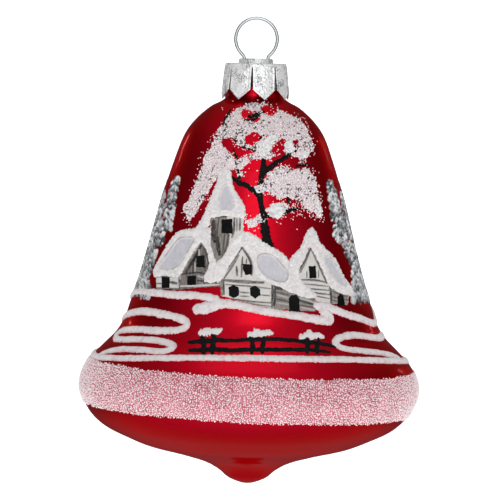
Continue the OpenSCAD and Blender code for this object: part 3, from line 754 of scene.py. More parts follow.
adhesive = finish_grained(
    "rose_adhesive", (2200, 300, 0.5), ((0.35, (0.42, 0.05, 0.09)), (0.65, (0.70, 0.26, 0.32))),
    (0.00005, 0.6), rough=0.5)[0]
rose_crystal = painted("rose_glitter", 0.3, 0.00002, 4000, 900, specular=0.6)
joins_bell(band_coat, adhesive, "rose_glitter", "glitter_band")
joins_bell(band_grains, rose_crystal, "rose_glitter", "glitter_band")

# ---- Piped snow lines ----
# White paste squeezed from a fine nozzle in one stroke each: the ground under the
# village, the loops at both sides and the line above the band. Its edges fray.
LINE_W, LINE_T = 1.7 * MM, 0.55 * MM
LINE_PITCH = 0.17 * MM
ASKEW, LEVEL_HEIGHT, ASIDE = 0.03, 55 * MM, 0.4 * MM
TURN_PER_MM = 57.3 / 26
SNOW_WHITE = np.array([0.76, 0.73, 0.73])


def set_askew(x, height):
    """The whole scene is painted a little askew: left side down about the level height, and aside."""
    return x + ASIDE + ASKEW * (LEVEL_HEIGHT - height), height + ASKEW * x


def route_on_glass(route, askew):
    """Points along a route of (turn in degrees, height in millimetres, share of the line's width)."""
    route = np.array([(*point, 1.0)[:3] for point in route], float)
    smooth = smooth_run(route / [TURN_PER_MM, 1, 1], 0.25) * [TURN_PER_MM, 1, 1]
    turn, height = np.radians(smooth[:, 0]), smooth[:, 1] * MM
    if askew:
        radius = radius_at(height)
        x, askew_height = set_askew(radius * np.sin(turn), height)
        turn, height = turn + (x / radius - np.sin(turn)) * np.cos(turn), askew_height
    return turn, height, smooth[:, 2], on_glass(turn, height)


def piped(name, route, seed, around):
    """A line of paste: on a grid over the glass, the lift is a half-round dome over the distance to the route
    in space, with a lumpy back and a frayed foot."""
    turn, height, share, points = route_on_glass(route, not around)
    margin = 0.9 * LINE_W
    radius = radius_at(height.mean())
    if around:
        u = np.arange(int(2 * math.pi * radius / LINE_PITCH)) * LINE_PITCH / radius
        u = u * 2 * math.pi / (u[-1] + LINE_PITCH / radius)
    else:
        u = np.arange(turn.min() - margin / radius, turn.max() + margin / radius, LINE_PITCH / radius)
    u, v = np.meshgrid(u, np.arange(height.min() - margin, height.max() + margin, LINE_PITCH))
    spots = on_glass(u, v)
    nearest, wide = np.full(u.shape, 1.0), np.ones(u.shape)
    for point, own in zip(points, share):
        away = ((spots - point) ** 2).sum(-1)
        closer = away < nearest
        nearest[closer] = away[closer]
        wide[closer] = own
    arc_run = u * radius
    frayed = noise_sum(arc_run, v, seed, (0.13, 0.42 * MM), (0.10, 0.23 * MM), (0.1, 2.5 * MM))
    across = np.sqrt(nearest) / (LINE_W / 2 * wide * (1 + frayed))
    dome = np.sqrt(np.clip(1 - across**2, 0, 1))
    lumps = 1 + noise_sum(arc_run, v, seed + 3, (0.16, 0.5 * MM), (0.10, 0.27 * MM))
    lift = np.where(across < 1, LINE_T * np.minimum(wide, 1.1) * dome * lumps * 0.86, -SINK * 1.01)
    lift = np.where((across >= 1) & (across < 1.15), -SINK * 0.9, lift)
    shadow = np.clip(soft_noise(arc_run, v, 0.7 * MM, seed + 5), 0, 1)[..., None] * [0.5, 1, 0.9]
    rosy = np.clip(across, 0, 1)[..., None] ** 6 * [0.0, 0.25, 0.22]
    paint = SNOW_WHITE * (1 - 0.22 * shadow) * (1 - rosy)
    return relief(name, on_glass, u, v, lift, paint, around)


# Heights in millimetres of the line above the band, evenly round the bell.
line_heights = [32.5, 32.4, 32.1, 31.4, 30.5, 29.9, 29.8, 29.9, 30.2, 29.9, 29.8, 29.9, 30, 30.1, 30.1, 30,
                30.6, 31.5, 32.2]
around_count = len(line_heights)
# Each line: its route as (turn in degrees, height, share of the line's width).
snow_routes = {
    "lower_snow_line": [(360 * (i - 1) / around_count, line_heights[(i - 1) % around_count])
                        for i in range(around_count + 3)],
    "left_snow_drift": [(-100, 44), (-88, 45), (-72, 46.2), (-55, 46.4), (-41, 46.2), (-28, 46.2),
                        (-19.5, 45.6), (-17, 44.6), (-19.5, 43.6), (-26.5, 43)],
    "centre_snow_drift": [(-27, 43.3, 1.5), (-22, 43.6, 1.7), (-17, 44.3, 1.5), (-13.2, 44.5, 1.2),
                          (-8, 44.2, 1.1), (-2, 43.5, 1.05), (4, 42.9, 1.1), (14, 42), (23.5, 41.2, 1.1),
                          (32, 40.4, 1.2), (37.5, 40.2, 1.4), (37, 41.4, 1.5), (34.5, 42.6, 1.4)],
    "right_snow_drift": [(31.5, 43.6, 1.2), (36, 43.2, 1.3), (41, 42.6, 1.2), (51, 41), (61.5, 39.8),
                         (74, 38.3), (86, 38.5), (98, 41)],
    "back_snow_drift": [(102, 42.2), (116, 43.6), (132, 43.4), (150, 42.2), (168, 42.6), (186, 43.8),
                        (204, 43.6), (222, 42.2), (238, 42.4), (257, 43.6)],
    "left_snow_loops": [(-92, 39.4), (-76, 41), (-61, 42), (-44, 41.7), (-34, 40.8), (-31, 39.6),
                        (-34.5, 38.4), (-46, 38), (-60, 37.9), (-74, 37.1), (-78, 36), (-72, 35.2),
                        (-58, 35.7), (-45, 35.9), (-36, 35.3), (-34, 34.3), (-38.5, 33.6), (-49, 33.7),
                        (-60, 33.4), (-69, 32.6), (-73, 31.6)],
    "right_snow_loop": [(86, 35.1), (72.7, 34.9), (58, 35.9), (48, 36.4), (40.7, 36), (36.9, 34.9),
                        (39.5, 33.9), (46.5, 33.1), (58.3, 32.2), (68, 31.2), (75, 30.2)],
}
snow_paste = painted("snow_paste", 0.62, 0.00005, 2600, 700, specular=0.3)
for number, (name, route) in enumerate(snow_routes.items()):
    line = piped(name + "_paste", route, 41 + 10 * number, name == "lower_snow_line")
    joins_bell(line, snow_paste, "snow_paste", name)

# ---- Tree ----
# A bare trunk and limbs in black enamel, a brush of white paint in the crown, and a
# crown of coarse white glitter strewn on wet paste, thin at its edges.
DRAW_PITCH = 0.16 * MM


def spot_of(x, height):
    """The turn and height of a drawing laid on the bell from the front, x sideways, once it is set askew."""
    x, height = set_askew(x, height)
    return np.arcsin(np.clip(x / radius_at(height), -1, 1)), height


def laid(x, height, lift):
    """The place on the glass of a drawing laid on the bell from the front."""
    return on_glass(*spot_of(x, height), lift)


def grid_over(outlines, pitch=DRAW_PITCH, margin=0.6 * MM):
    """A grid across and up, a pitch apart, that covers some outlines given in millimetres."""
    points = np.concatenate([np.array(o, float)[:, :2] for o in outlines]) * MM
    low, high = points.min(0) - margin, points.max(0) + margin
    return np.meshgrid(np.arange(low[0], high[0], pitch), np.arange(low[1], high[1], pitch))


def to_run(x, y, run):
    """Distance from each place to a run of points, and the share of the run's length where it is nearest."""
    best, share = np.full(x.shape, 9.0), np.zeros(x.shape)
    length = np.concatenate([[0], np.cumsum(np.hypot(*np.diff(run, axis=0).T))])
    for i, (a, b) in enumerate(zip(run[:-1], run[1:])):
        d = b - a
        t = np.clip(((x - a[0]) * d[0] + (y - a[1]) * d[1]) / max(d @ d, 1e-18), 0, 1)
        away = np.hypot(x - a[0] - t * d[0], y - a[1] - t * d[1])
        nearer = away < best
        best = np.where(nearer, away, best)
        share = np.where(nearer, (length[i] + t * (length[i + 1] - length[i])) / length[-1], share)
    return best, share


def depth_in(x, y, outline, smooth=True):
    """How far each place lies inside a closed outline in millimetres; outside it is below zero."""
    run = np.array(outline, float) * MM
    if smooth:
        ring = np.concatenate([run[-1:], run, run[:2]])
        run = smooth_run(ring, 0.5 * MM)
        first = int(np.argmin(np.hypot(*(run - ring[1]).T)))
        last = len(run) - 1 - int(np.argmin(np.hypot(*(run[::-1] - ring[-2]).T)))
        run = run[first:last]
    run = np.concatenate([run, run[:1]])
    within = np.zeros(x.shape, bool)
    for a, b in zip(run[:-1], run[1:]):
        if a[1] != b[1]:
            crossing = (a[1] > y) != (b[1] > y)
            within ^= crossing & (x < (b[0] - a[0]) * (y - a[1]) / (b[1] - a[1]) + a[0])
    return np.where(within, 1, -1) * to_run(x, y, run)[0]


def brushed(x, y, strokes, fray, seed):
    """How far inside the nearest brush stroke each place lies; a stroke is a run of (x, height, width), and
    its edge is ragged."""
    deep = np.full(x.shape, -1.0)
    ragged = 1 + noise_sum(x, y, seed, (fray, 0.35 * MM), (0.5 * fray, 0.9 * MM))
    for stroke in strokes:
        run = smooth_run(np.array(stroke, float), 0.4) * MM
        away, share = to_run(x, y, run[:, :2])
        width = np.interp(share, np.linspace(0, 1, len(run)), run[:, 2])
        deep = np.maximum(deep, width / 2 * ragged - away)
    return deep


def lifted(deep, thickness):
    """A coat's lift: its thickness where a place lies inside it, and sunk out of sight elsewhere."""
    return np.where(deep > 0, thickness, -1)


def over(colours, paint, cover):
    """The colours once some paint is laid over them, by a cover from 0 to 1."""
    return colours + (np.asarray(paint) - colours) * cover[..., None]


# Outlines are runs of (x, height) and strokes runs of (x, height, width), all in
# millimetres: x from the bell's middle line, and height above its tip.
crown_outline = [(2.2, 90.2), (-0.2, 90), (-2.6, 89.3), (-4.4, 88.2), (-6.1, 86.4), (-7.2, 84.8), (-8.4, 83),
                 (-9.6, 80.9), (-10.7, 78.8), (-11.5, 76.5), (-12.4, 73.9), (-13.8, 71), (-14.9, 68.2),
                 (-16.2, 65.6), (-14.8, 63.1), (-12.8, 65.8), (-11.3, 68.1), (-10.4, 69.8), (-8.8, 72.4),
                 (-7.9, 74), (-6.5, 75), (-4.3, 75), (-2.4, 75), (-1.5, 76.2), (0.4, 77.4), (2, 77.6),
                 (3.7, 77.4), (5.8, 78.2), (8.4, 78.6), (9.8, 77.6), (11.7, 77), (12.6, 78.2), (13.8, 78.6),
                 (14.3, 79.8), (13.6, 81.4), (12.9, 83.5), (11.6, 85.6), (9.5, 87.3), (6.9, 88.1),
                 (5.9, 89.1), (4, 90)]
side_outline = [(3.5, 74.1), (5.1, 75.2), (7, 75.7), (9.1, 74.9), (11, 75.3), (12.7, 75), (13.8, 73.8),
                (14.6, 71.7), (15.2, 69.1), (15.5, 67), (16.1, 64.4), (15.8, 63.3), (14.4, 64.3),
                (12.5, 65.8), (10.6, 67.5), (8.5, 68.2), (6.1, 68.3), (4.2, 69.2), (2.3, 69.9), (1.4, 69.5),
                (0.4, 70.4), (1.3, 71.8), (2.8, 72.7)]
low_puff = [(-2.1, 63.6), (0, 63.9), (1.4, 64.6), (3.1, 63.4), (1.4, 62.5), (-0.5, 61.6), (-1.4, 62)]
crown_gaps = [
    [(-6.9, 81.9), (-4.4, 82), (-3.4, 80.6), (-1.5, 79.9), (0.2, 79), (-1.5, 78.1), (-3.2, 77.3),
     (-4.6, 77.9),
     (-5.8, 79.6), (-6.7, 80.3)],
    [(-1.4, 82.9), (1.3, 83.3), (2, 82), (0.3, 80.7), (-1.2, 81)],
    [(2.3, 89.1), (4.1, 89.4), (5.7, 88.6), (5.3, 87.7), (3.8, 87.2), (2.5, 88)],
    [(-2.4, 88.2), (-0.2, 88.2), (1.6, 87.4), (1, 86), (-1.8, 86)],
    [(4.9, 80.7), (6.9, 81.9), (7.9, 81.2), (7.1, 78.9), (5.8, 78.1), (4.4, 79)],
    [(9.1, 81.5), (10.6, 81.2), (9.9, 79.6), (8.9, 80.1)],
]
limbs = [
    [(3.5, 57.1, 2.7), (2.9, 59.6, 2.1), (2.6, 62, 1.9), (2.3, 64.5, 1.5), (1.9, 66.7, 1.3), (1.6, 68.8, 1.3),
     (1.7, 71, 1.2), (1.9, 72.5, 1.3), (2.3, 75.3, 1.3), (2.6, 77.6, 1.2)],
    [(-4.8, 73.2, 0.8), (-3.1, 72, 1.2), (-1.2, 71.1, 1.2), (0.4, 69.9, 1.1), (1.6, 68.5, 1)],
    [(2.6, 74.2, 1.3), (5.3, 76.4, 1.2), (7.2, 77.5, 1.1), (9.9, 79, 0.8)],
    [(-5.4, 83.3, 0.8), (-3.4, 81.8, 1.4), (-1.5, 80.2, 1.2), (0.4, 79.4, 0.7)],
    [(-4.5, 79.6, 0.5), (-3.5, 77.4, 0.6)],
    [(10.1, 75.6, 0.5), (11.7, 75.8, 0.6), (13.3, 75.6, 0.4)],
    [(-5, 88.7, 0.4), (-6.1, 86.9, 0.6), (-6.9, 84.8, 0.5)],
    [(2.6, 88.1, 0.8), (1, 87.5, 1.1), (-0.6, 87, 1)],
    [(-1.8, 86.2, 0.5), (0.2, 86.4, 0.7), (1.4, 87.2, 0.6)],
    [(7.3, 65.1, 1.1), (8.9, 65.6, 0.9), (10.8, 65.9, 0.5)],
    [(7.6, 69.3, 0.7), (8.2, 67.7, 0.9)],
    [(-3.5, 74.9, 0.5), (-3, 73, 0.7)],
    [(-2, 90, 0.4), (-0.7, 90.4, 0.5)],
    [(3.1, 83.1, 0.7), (1.9, 82.2, 0.8)],
    [(1.9, 66.2, 0.8), (3.4, 64.4, 0.6), (4.6, 63.8, 0.3)],
]
x, y = grid_over([*limbs, crown_outline], 0.17 * MM)
deep = brushed(x, y, limbs, 0.3, 301)
streak = soft_noise(x, y, 0.3 * MM, 303)
lift = np.clip(0.16 * MM * step(0, 0.18 * MM, deep) * (1 + 0.3 * streak), None, 0.2 * MM)
lift = np.where(deep > 0, lift, -SINK * (1 + step(-0.1 * MM, -0.2 * MM, deep)))
trunk = relief("tree_limbs", laid, x, y, lift)
enamel = finish_grained(
    "black_enamel", (1700, 350, 0.5), ((0.35, (0.0015, 0.0015, 0.002)), (0.7, (0.008, 0.008, 0.009))),
    (0.00006, 0.5), rough=0.6, specular=0.1)[0]
joins_bell(trunk, enamel, "black_paint", "tree_trunk")

x, y = grid_over([crown_outline, side_outline, low_puff])
deep = np.maximum.reduce([depth_in(x, y, o) for o in (crown_outline, side_outline, low_puff)])
for gap in crown_gaps:
    deep = np.minimum(deep, -depth_in(x, y, gap))
deep = deep + noise_sum(x, y, 311, (0.32 * MM, 0.75 * MM), (0.2 * MM, 0.4 * MM)) - 0.05 * MM
holes = noise_sum(x, y, 313, (1, 1.1 * MM), (0.6, 0.5 * MM))
deep = np.where((holes > 0.95) & (deep < 2.2 * MM), -0.2 * MM, deep)
lift = lifted(deep, 0.17 * MM * step(0, 0.25 * MM, deep) * (1 + 0.35 * soft_noise(x, y, 0.45 * MM, 315)))
dark = step(0.30, 0.62, noise_sum(x, y, 316, (1, 0.34 * MM), (0.5, 1.3 * MM)))[..., None]
crown_paint = (1 - dark) * np.array([0.74, 0.62, 0.64]) + dark * [0.05, 0.02, 0.025]
crown_coat = relief("crown_adhesive", laid, x, y, lift, crown_paint)


def value_at(field, px, py):
    """The grid's value at the nearest place to each point."""
    column = np.clip(np.round((px - x[0, 0]) / (x[0, 1] - x[0, 0])).astype(int), 0, x.shape[1] - 1)
    row = np.clip(np.round((py - y[0, 0]) / (y[1, 0] - y[0, 0])).astype(int), 0, x.shape[0] - 1)
    return field[row, column]


# Grains on the coat, then a fringe of strays round its edge and a loose spray that
# slants down to the right under the crown.
SPRAY, STRAYS = 900, 2600
rng = np.random.default_rng(321)
pitch = 0.49 * MM
gx, gy = np.meshgrid(np.arange(x[0, 0], x[0, -1], pitch), np.arange(y[0, 0], y[-1, 0], pitch * ROW_SHARE))
gx = (gx + rng.uniform(-0.45, 0.45, gx.shape) * pitch).ravel()
gy = (gy + rng.uniform(-0.45, 0.45, gy.shape) * pitch).ravel()
on_crown = value_at(deep, gx, gy) > -0.02 * MM
spray_x, spray_y = rng.uniform(4, 15.5, SPRAY), rng.uniform(60.5, 68.5, SPRAY)
slant = (spray_x - 4) * 0.28 + (68 - spray_y) * 0.12
thin = rng.uniform(size=SPRAY) < np.clip(0.5 - np.abs(spray_y - 65.8 + 0.1 * slant) / 5, 0, 1)
near = rng.integers(0, len(gx), STRAYS)
fringe_x = gx[near] + rng.normal(0, 0.6, STRAYS) * MM
fringe_y = gy[near] + rng.normal(0, 0.6, STRAYS) * MM
edge = value_at(deep, fringe_x, fringe_y)
fringe = (edge > -0.9 * MM) & (edge < 0.1 * MM) & (rng.uniform(size=STRAYS) < 0.6)
gx = np.concatenate([gx[on_crown], spray_x[thin] * MM, fringe_x[fringe]])
gy = np.concatenate([gy[on_crown], spray_y[thin] * MM, fringe_y[fringe]])
on_coat = value_at(np.maximum(lift, 0), gx, gy)
size = pitch * rng.uniform(0.7, 1.2, len(gx)) * np.where(on_coat > 0, 1, 0.8)
white_share = rng.uniform(size=(len(gx), 1)) ** 0.6
colours = (1 - white_share) * [0.96, 0.88, 0.89] + white_share * [1.0, 1.0, 1.0]
turn, gy = spot_of(gx, gy)
crown_grains = grains("crown_glitter", turn, gy, on_coat + 0.05 * MM, size, colours, 323)
white_crystal = painted("white_glitter", 0.32, 0.00002, 4000, 900, specular=0.6)
joins_bell(crown_coat, white_crystal, "white_glitter", "tree_snow")
joins_bell(crown_grains, white_crystal, "white_glitter", "tree_snow")

# Tufts of white paint that the brush left in the gaps of the crown.
puffs = [
    [(0.8, 80.4), (2.2, 81.9), (4.6, 83), (6, 82.4), (4.9, 80.4), (3.8, 78.1), (1.8, 77.3), (0.6, 78.5)],
    [(7.9, 81.4), (9.1, 81.3), (9.7, 79.3), (8.5, 78.2), (7.3, 79.8)],
    [(3, 66.2), (4.7, 67.1), (7, 67.3), (8, 65.9), (7.1, 64.3), (5.4, 63.5), (3.8, 63.9), (2.8, 65)],
    [(-3.6, 74.6), (-2.2, 74.4), (-2.4, 73.2), (-3.3, 73.4)],
    [(10.6, 78), (12.4, 79.2), (13.2, 78), (11.6, 77)],
    [(0.4, 71), (2.3, 71.6), (3, 70.2), (1, 69.2)],
]
x, y = grid_over(puffs)
deep = np.maximum.reduce([depth_in(x, y, o) for o in puffs])
deep = deep + noise_sum(x, y, 331, (0.4 * MM, 0.7 * MM), (0.2 * MM, 0.3 * MM))
hairs = soft_noise(x + y, (x - y) * 0.3, 0.25 * MM, 333)
bare = soft_noise(x, y, 0.45 * MM, 335) + 0.5 * hairs
deep = np.where((bare > 0.62) & (deep < 1.2 * MM), -0.2 * MM, deep)
lift = lifted(deep, (0.24 + 0.09 * hairs) * MM * step(0, 0.6 * MM, deep))
grey = 0.5 + 0.5 * soft_noise(x, y, 0.5 * MM, 334)[..., None]
puff_paint = (1 - 0.35 * grey) * np.array([0.90, 0.92, 0.92])
puff_brush = relief("brushed_snow", laid, x, y, lift, puff_paint)
white_paint = painted("white_relief_paint", 0.55, 0.00004, 2400, 600, specular=0.35)
joins_bell(puff_brush, white_paint, "white_relief_paint", "tree_snow")

# ---- Church and three cottages: walls ----
# Cream paint laid on the lacquer, then siding drawn on it with a dry brown brush, and
# windows and doors dotted in black enamel that stands a little higher.
WALL_PITCH = 0.13 * MM
WALL_T = 0.14 * MM
LINE_SPREAD, LINE_DRY, PLANK_DRY = 0.72, 0.35, 0.3
CREAM, TAUPE = np.array([0.66, 0.635, 0.61]), np.array([0.17, 0.145, 0.125])
BROWN, SOOT = np.array([0.07, 0.055, 0.05]), np.array([0.014, 0.013, 0.014])


def drawn_line(colours, x, y, route, width, colour, seed):
    """Mixes one brush line into the colours: full in its middle, broken up by bristle streaks."""
    away, share = to_run(x, y, smooth_run(np.array(route, float), 0.6) * MM)
    streak = noise_sum(x, y, seed, (0.5, 0.22 * MM), (0.5, 0.8 * MM))
    taper = 0.6 + 0.4 * np.sin(np.pi * np.clip(share, 0.08, 0.92))
    wide = width * LINE_SPREAD * MM * (1 + 0.35 * streak) * taper
    cover = step(0.07 * MM, -0.07 * MM, away - wide) * np.clip(1 - LINE_DRY * (0.5 + streak), 0, 1)
    return over(colours, colour, cover)


def plank(colours, x, y, corners, colour, seed):
    """Mixes a flat patch into the colours, with streaks along its height."""
    deep = depth_in(x, y, corners, smooth=False) + 0.12 * MM * soft_noise(x, y, 0.4 * MM, seed)
    streak = 0.5 + 0.5 * soft_noise(x, y * 0.25, 0.2 * MM, seed + 1)
    return over(colours, colour, step(-0.05 * MM, 0.08 * MM, deep) * (1 - PLANK_DRY * streak))


# Each building: its outline, flat patches of colour, brush lines as (width, colour,
# route), and the outlines of its windows and doors.
buildings = {
    "church_tower": dict(
        outline=[(-9.9, 64.4), (-2.2, 64.6), (-2.3, 60.4), (-4.6, 58.2), (-7.2, 54.2), (-8.6, 54),
                 (-9.9, 56.5)],
        patches=[([(-9.9, 64.5), (-6.2, 64.5), (-5.4, 60), (-6.6, 55), (-8.6, 54), (-10, 57)], TAUPE)],
        lines=[(0.9, SOOT, [(-9.1, 63), (-9.2, 60.6), (-8.9, 58.6)]),
               (0.7, SOOT, [(-8.2, 59.4), (-8.1, 57.2), (-7.8, 55.6)]),
               (0.3, BROWN, [(-7.9, 63.8), (-8.3, 60.5), (-8.2, 57.5)]),
               (0.3, BROWN, [(-6.6, 60.2), (-6.9, 57.4), (-7.2, 55.2)]),
               (0.5, BROWN, [(-5.7, 60), (-6, 57.8), (-6.6, 56)]),
               (0.45, BROWN, [(-4.3, 63.9), (-4.5, 61), (-4.9, 59.6)]),
               (0.4, BROWN, [(-3, 64), (-3.1, 61.2)]), (0.25, BROWN, [(-3.7, 64), (-3.8, 61)]),
               (0.5, BROWN, [(-9.9, 64.2), (-6.2, 64.3)])],
        panes=[[(-7.2, 63.5), (-4.9, 63.6), (-4.8, 60.4), (-7.2, 60.5)]]),
    "left_cottage": dict(
        outline=[(-12.2, 58.6), (-11, 57.6), (-9.9, 54), (-10.4, 52), (-11.2, 50.4), (-7.4, 50), (-7.6, 48.4),
                 (-12, 48.1), (-17.1, 47.5), (-22.7, 47.3), (-22.7, 50.6), (-17.3, 51), (-15.6, 53.8)],
        patches=[([(-12.1, 58.3), (-10.9, 57), (-9.9, 54), (-11, 50.4), (-7.6, 49.8), (-7.6, 48.5),
                   (-17.1, 47.7), (-16.9, 50.6), (-15, 54)], (0.12, 0.10, 0.09))],
        lines=[(0.5, SOOT, [(-12, 57.6), (-13.6, 54.6), (-15.6, 51.4)]),
               (0.4, BROWN, [(-11.4, 57), (-10.4, 54.6), (-10.3, 52.4)]),
               (0.3, SOOT, [(-13.8, 54.2), (-14, 51.6)]), (0.25, CREAM, [(-12.5, 56.6), (-12.5, 55.4)]),
               (0.3, BROWN, [(-11.2, 55.4), (-11.1, 51.8)]),
               (0.3, CREAM * 0.7, [(-13.5, 53.6), (-13.4, 51.6)]),
               (0.3, SOOT, [(-16.6, 50.9), (-13, 51.4), (-10.6, 51)]),
               (0.35, CREAM * 0.8, [(-12.8, 50.6), (-8.2, 49.6)]), (0.3, SOOT, [(-12.9, 49.6), (-8, 49.2)]),
               (0.35, CREAM, [(-16.8, 48.2), (-12, 48.5), (-8, 48.8)]),
               (0.3, BROWN, [(-17.2, 47.7), (-12, 48), (-7.8, 48.4)]),
               (0.3, BROWN, [(-17.2, 50.6), (-17.1, 47.6)]), (0.28, BROWN, [(-22.6, 48.5), (-19.8, 48.6)]),
               (0.5, SOOT, [(-19.2, 49), (-17.8, 48.8)]),
               (0.3, BROWN, [(-22.7, 47.5), (-17.2, 47.6)]), (0.3, BROWN, [(-22.6, 50), (-17.4, 50.5)])],
        panes=[[(-13.1, 55.1), (-11.4, 55.2), (-11.3, 52.7), (-13.1, 52.7)],
               [(-15.2, 50.5), (-13.4, 50.6), (-13.3, 48.7), (-15.2, 48.6)],
               [(-21.2, 50), (-19.5, 50.1), (-19.5, 47.8), (-21.1, 47.7)]]),
    "middle_cottage": dict(
        outline=[(-2.4, 57.9), (0.2, 54.2), (0.6, 51.8), (2.4, 50.6), (9.4, 47.2), (14.3, 45.5), (14.2, 42.3),
                 (9, 42.9), (4.4, 43.3), (-2, 44.7), (-7.5, 46.3), (-7.9, 50)],
        patches=[([(4.8, 49), (9.6, 47), (14.2, 45.2), (14.2, 42), (4.4, 43.2)], (0.20, 0.17, 0.15)),
                 ([(4.7, 49), (7.5, 48.4), (9.3, 47.2), (9.2, 46.6), (7, 47.4), (4.8, 47.6)], SOOT)],
        lines=[(0.4, BROWN, [(-2.6, 57.2), (-5.2, 53.6), (-7.9, 49.9)]),
               (0.35, BROWN, [(-3.4, 55.4), (-5, 52.8), (-6.8, 50.2)]),
               (0.45, SOOT, [(-2.6, 57.2), (-0.9, 54.5), (-0.4, 52.6), (-0.5, 51)]),
               (0.35, BROWN, [(-2.5, 55), (-2.7, 52.6), (-2.8, 50.6)]),
               (0.4, BROWN, [(-3.9, 52.8), (-3.8, 50.9)]), (0.25, BROWN, [(-1.6, 54.6), (-1.7, 53.4)]),
               (0.55, BROWN, [(-6.9, 49.8), (-2, 49.4), (2.2, 49.2)]),
               (0.25, BROWN, [(-6.4, 48.8), (-1, 48.4), (3.8, 47.8)]),
               (0.25, BROWN, [(-3.3, 47.1), (-1.2, 46.9)]), (0.22, BROWN, [(-3.2, 46.2), (-1.2, 46.1)]),
               (0.22, BROWN, [(1.5, 46.4), (3.6, 46.2)]),
               (0.3, BROWN, [(-6.6, 45.8), (-1, 45), (3.8, 44.6)]), (0.25, BROWN, [(-5, 45.1), (3.8, 43.8)]),
               (0.75, TAUPE, [(-7.4, 49.7), (-7.3, 46.6)]), (0.3, SOOT, [(-6.9, 49.6), (-6.8, 46.6)]),
               (0.4, SOOT, [(4.2, 48.6), (4.2, 46), (4.1, 43.3)]),
               (0.5, SOOT, [(4.6, 48.4), (4.8, 45.8), (4.6, 44)]),
               (0.25, BROWN, [(5.2, 47), (8, 46.2)]), (0.25, CREAM * 0.8, [(5.2, 46.4), (8, 45.6)]),
               (0.3, BROWN, [(5.2, 45.4), (8, 44.8)]),
               (0.25, CREAM * 0.75, [(5.2, 44.6), (8, 44.1)]), (0.25, BROWN, [(10.5, 46.2), (13.8, 45)]),
               (0.3, CREAM * 0.8, [(10.6, 45.5), (13.9, 44.3)]),
               (0.35, SOOT, [(10.6, 44.9), (14, 43.8)]), (0.25, BROWN, [(10.5, 43.9), (14, 43.1)]),
               (0.3, CREAM * 0.7, [(10.6, 43.4), (13.8, 42.7)])],
        panes=[[(-2.4, 53.4), (-0.5, 53.3), (-0.6, 51.1), (-1.9, 51.1), (-2.3, 52)],
               [(-5.7, 48.1), (-4.6, 48.6), (-3.5, 48.1), (-3.4, 46.4), (-4.6, 45.8), (-5.6, 46.3)],
               [(-0.8, 48), (0.3, 48.4), (1.3, 47.8), (1.4, 46.4), (0.3, 45.7), (-0.7, 46.3)],
               [(8.1, 45.4), (8.6, 46.1), (9.7, 46.1), (10.3, 45.3), (10.4, 42.6), (8.2, 42.7)]]),
    "right_cottage": dict(
        outline=[(13, 57), (15.2, 53.4), (17.9, 47.9), (22.1, 45.7), (21.8, 43.2), (17.6, 43.9), (14.5, 44.5),
                 (13.9, 45.8), (10.8, 49.2), (10.2, 51.8)],
        patches=[([(17.7, 47.9), (22, 45.8), (21.7, 43.3), (17.6, 43.9)], (0.27, 0.23, 0.20))],
        lines=[(0.55, TAUPE, [(13, 56.4), (11.8, 53.8), (10.7, 51.4)]),
               (0.35, BROWN, [(13.2, 56.6), (11.5, 53.6), (10.4, 51.8)]),
               (0.45, BROWN, [(13.3, 56.6), (15.2, 52.4), (16.8, 48.6)]),
               (0.35, BROWN, [(11.1, 49.6), (14, 49.4), (16.4, 48.8)]),
               (0.2, BROWN, [(12.2, 51.4), (12.2, 50)]), (0.2, BROWN, [(14.9, 51.5), (14.9, 49.9)]),
               (0.22, BROWN, [(11.6, 48.6), (14, 48.3), (17, 47.8)]),
               (0.25, BROWN, [(12, 47.6), (17.2, 46.9)]), (0.3, BROWN, [(12.6, 46.8), (17.3, 45.9)]),
               (0.22, BROWN, [(13.4, 46), (17.4, 45)]),
               (0.4, SOOT, [(17.5, 47.8), (17.7, 46), (17.8, 43.9)]),
               (0.22, BROWN, [(18.1, 46.6), (21.6, 45)]), (0.22, BROWN, [(18.1, 45.4), (19.2, 45)]),
               (0.22, BROWN, [(18.1, 44.6), (19.3, 44.2)]), (0.25, BROWN, [(21, 44.6), (21.8, 44.3)])],
        panes=[[(12.7, 52.5), (14.2, 52.5), (14.3, 49.9), (12.9, 49.9)],
               [(19.3, 45.2), (19.9, 45.8), (20.6, 45.5), (20.9, 43.3), (19.5, 43.5)]]),
}
timber = painted("timber_paint", 0.6, 0.00004, 2200, 700, specular=0.2)
panes = []
for number, (name, parts) in enumerate(buildings.items()):
    x, y = grid_over([parts["outline"]], WALL_PITCH, 0.4 * MM)
    seed = 401 + 60 * number
    deep = depth_in(x, y, parts["outline"], smooth=False) + 0.1 * MM * soft_noise(x, y, 0.5 * MM, seed)
    bristle = soft_noise(x, y * 0.2, 0.16 * MM, seed + 1)
    cloudy = soft_noise(x, y, 1.3 * MM, seed + 2)
    colours = CREAM * (1 + 0.08 * bristle[..., None]) * (1 + 0.05 * cloudy[..., None])
    for i, (corners, colour) in enumerate(parts["patches"]):
        colours = plank(colours, x, y, corners, colour, seed + 3 + 2 * i)
    for i, (width, colour, route) in enumerate(parts["lines"]):
        colours = drawn_line(colours, x, y, route, width, colour, seed + 9 + 2 * i)
    dark = 1 - colours.mean(-1)
    lift = lifted(deep, WALL_T * step(0, 0.15 * MM, deep) * (1 + 0.16 * bristle - 0.18 * dark))
    wall = relief(name + "_walls", laid, x, y, lift, colours)
    joins_bell(wall, timber, "timber_paint", name)
    panes += parts["panes"]

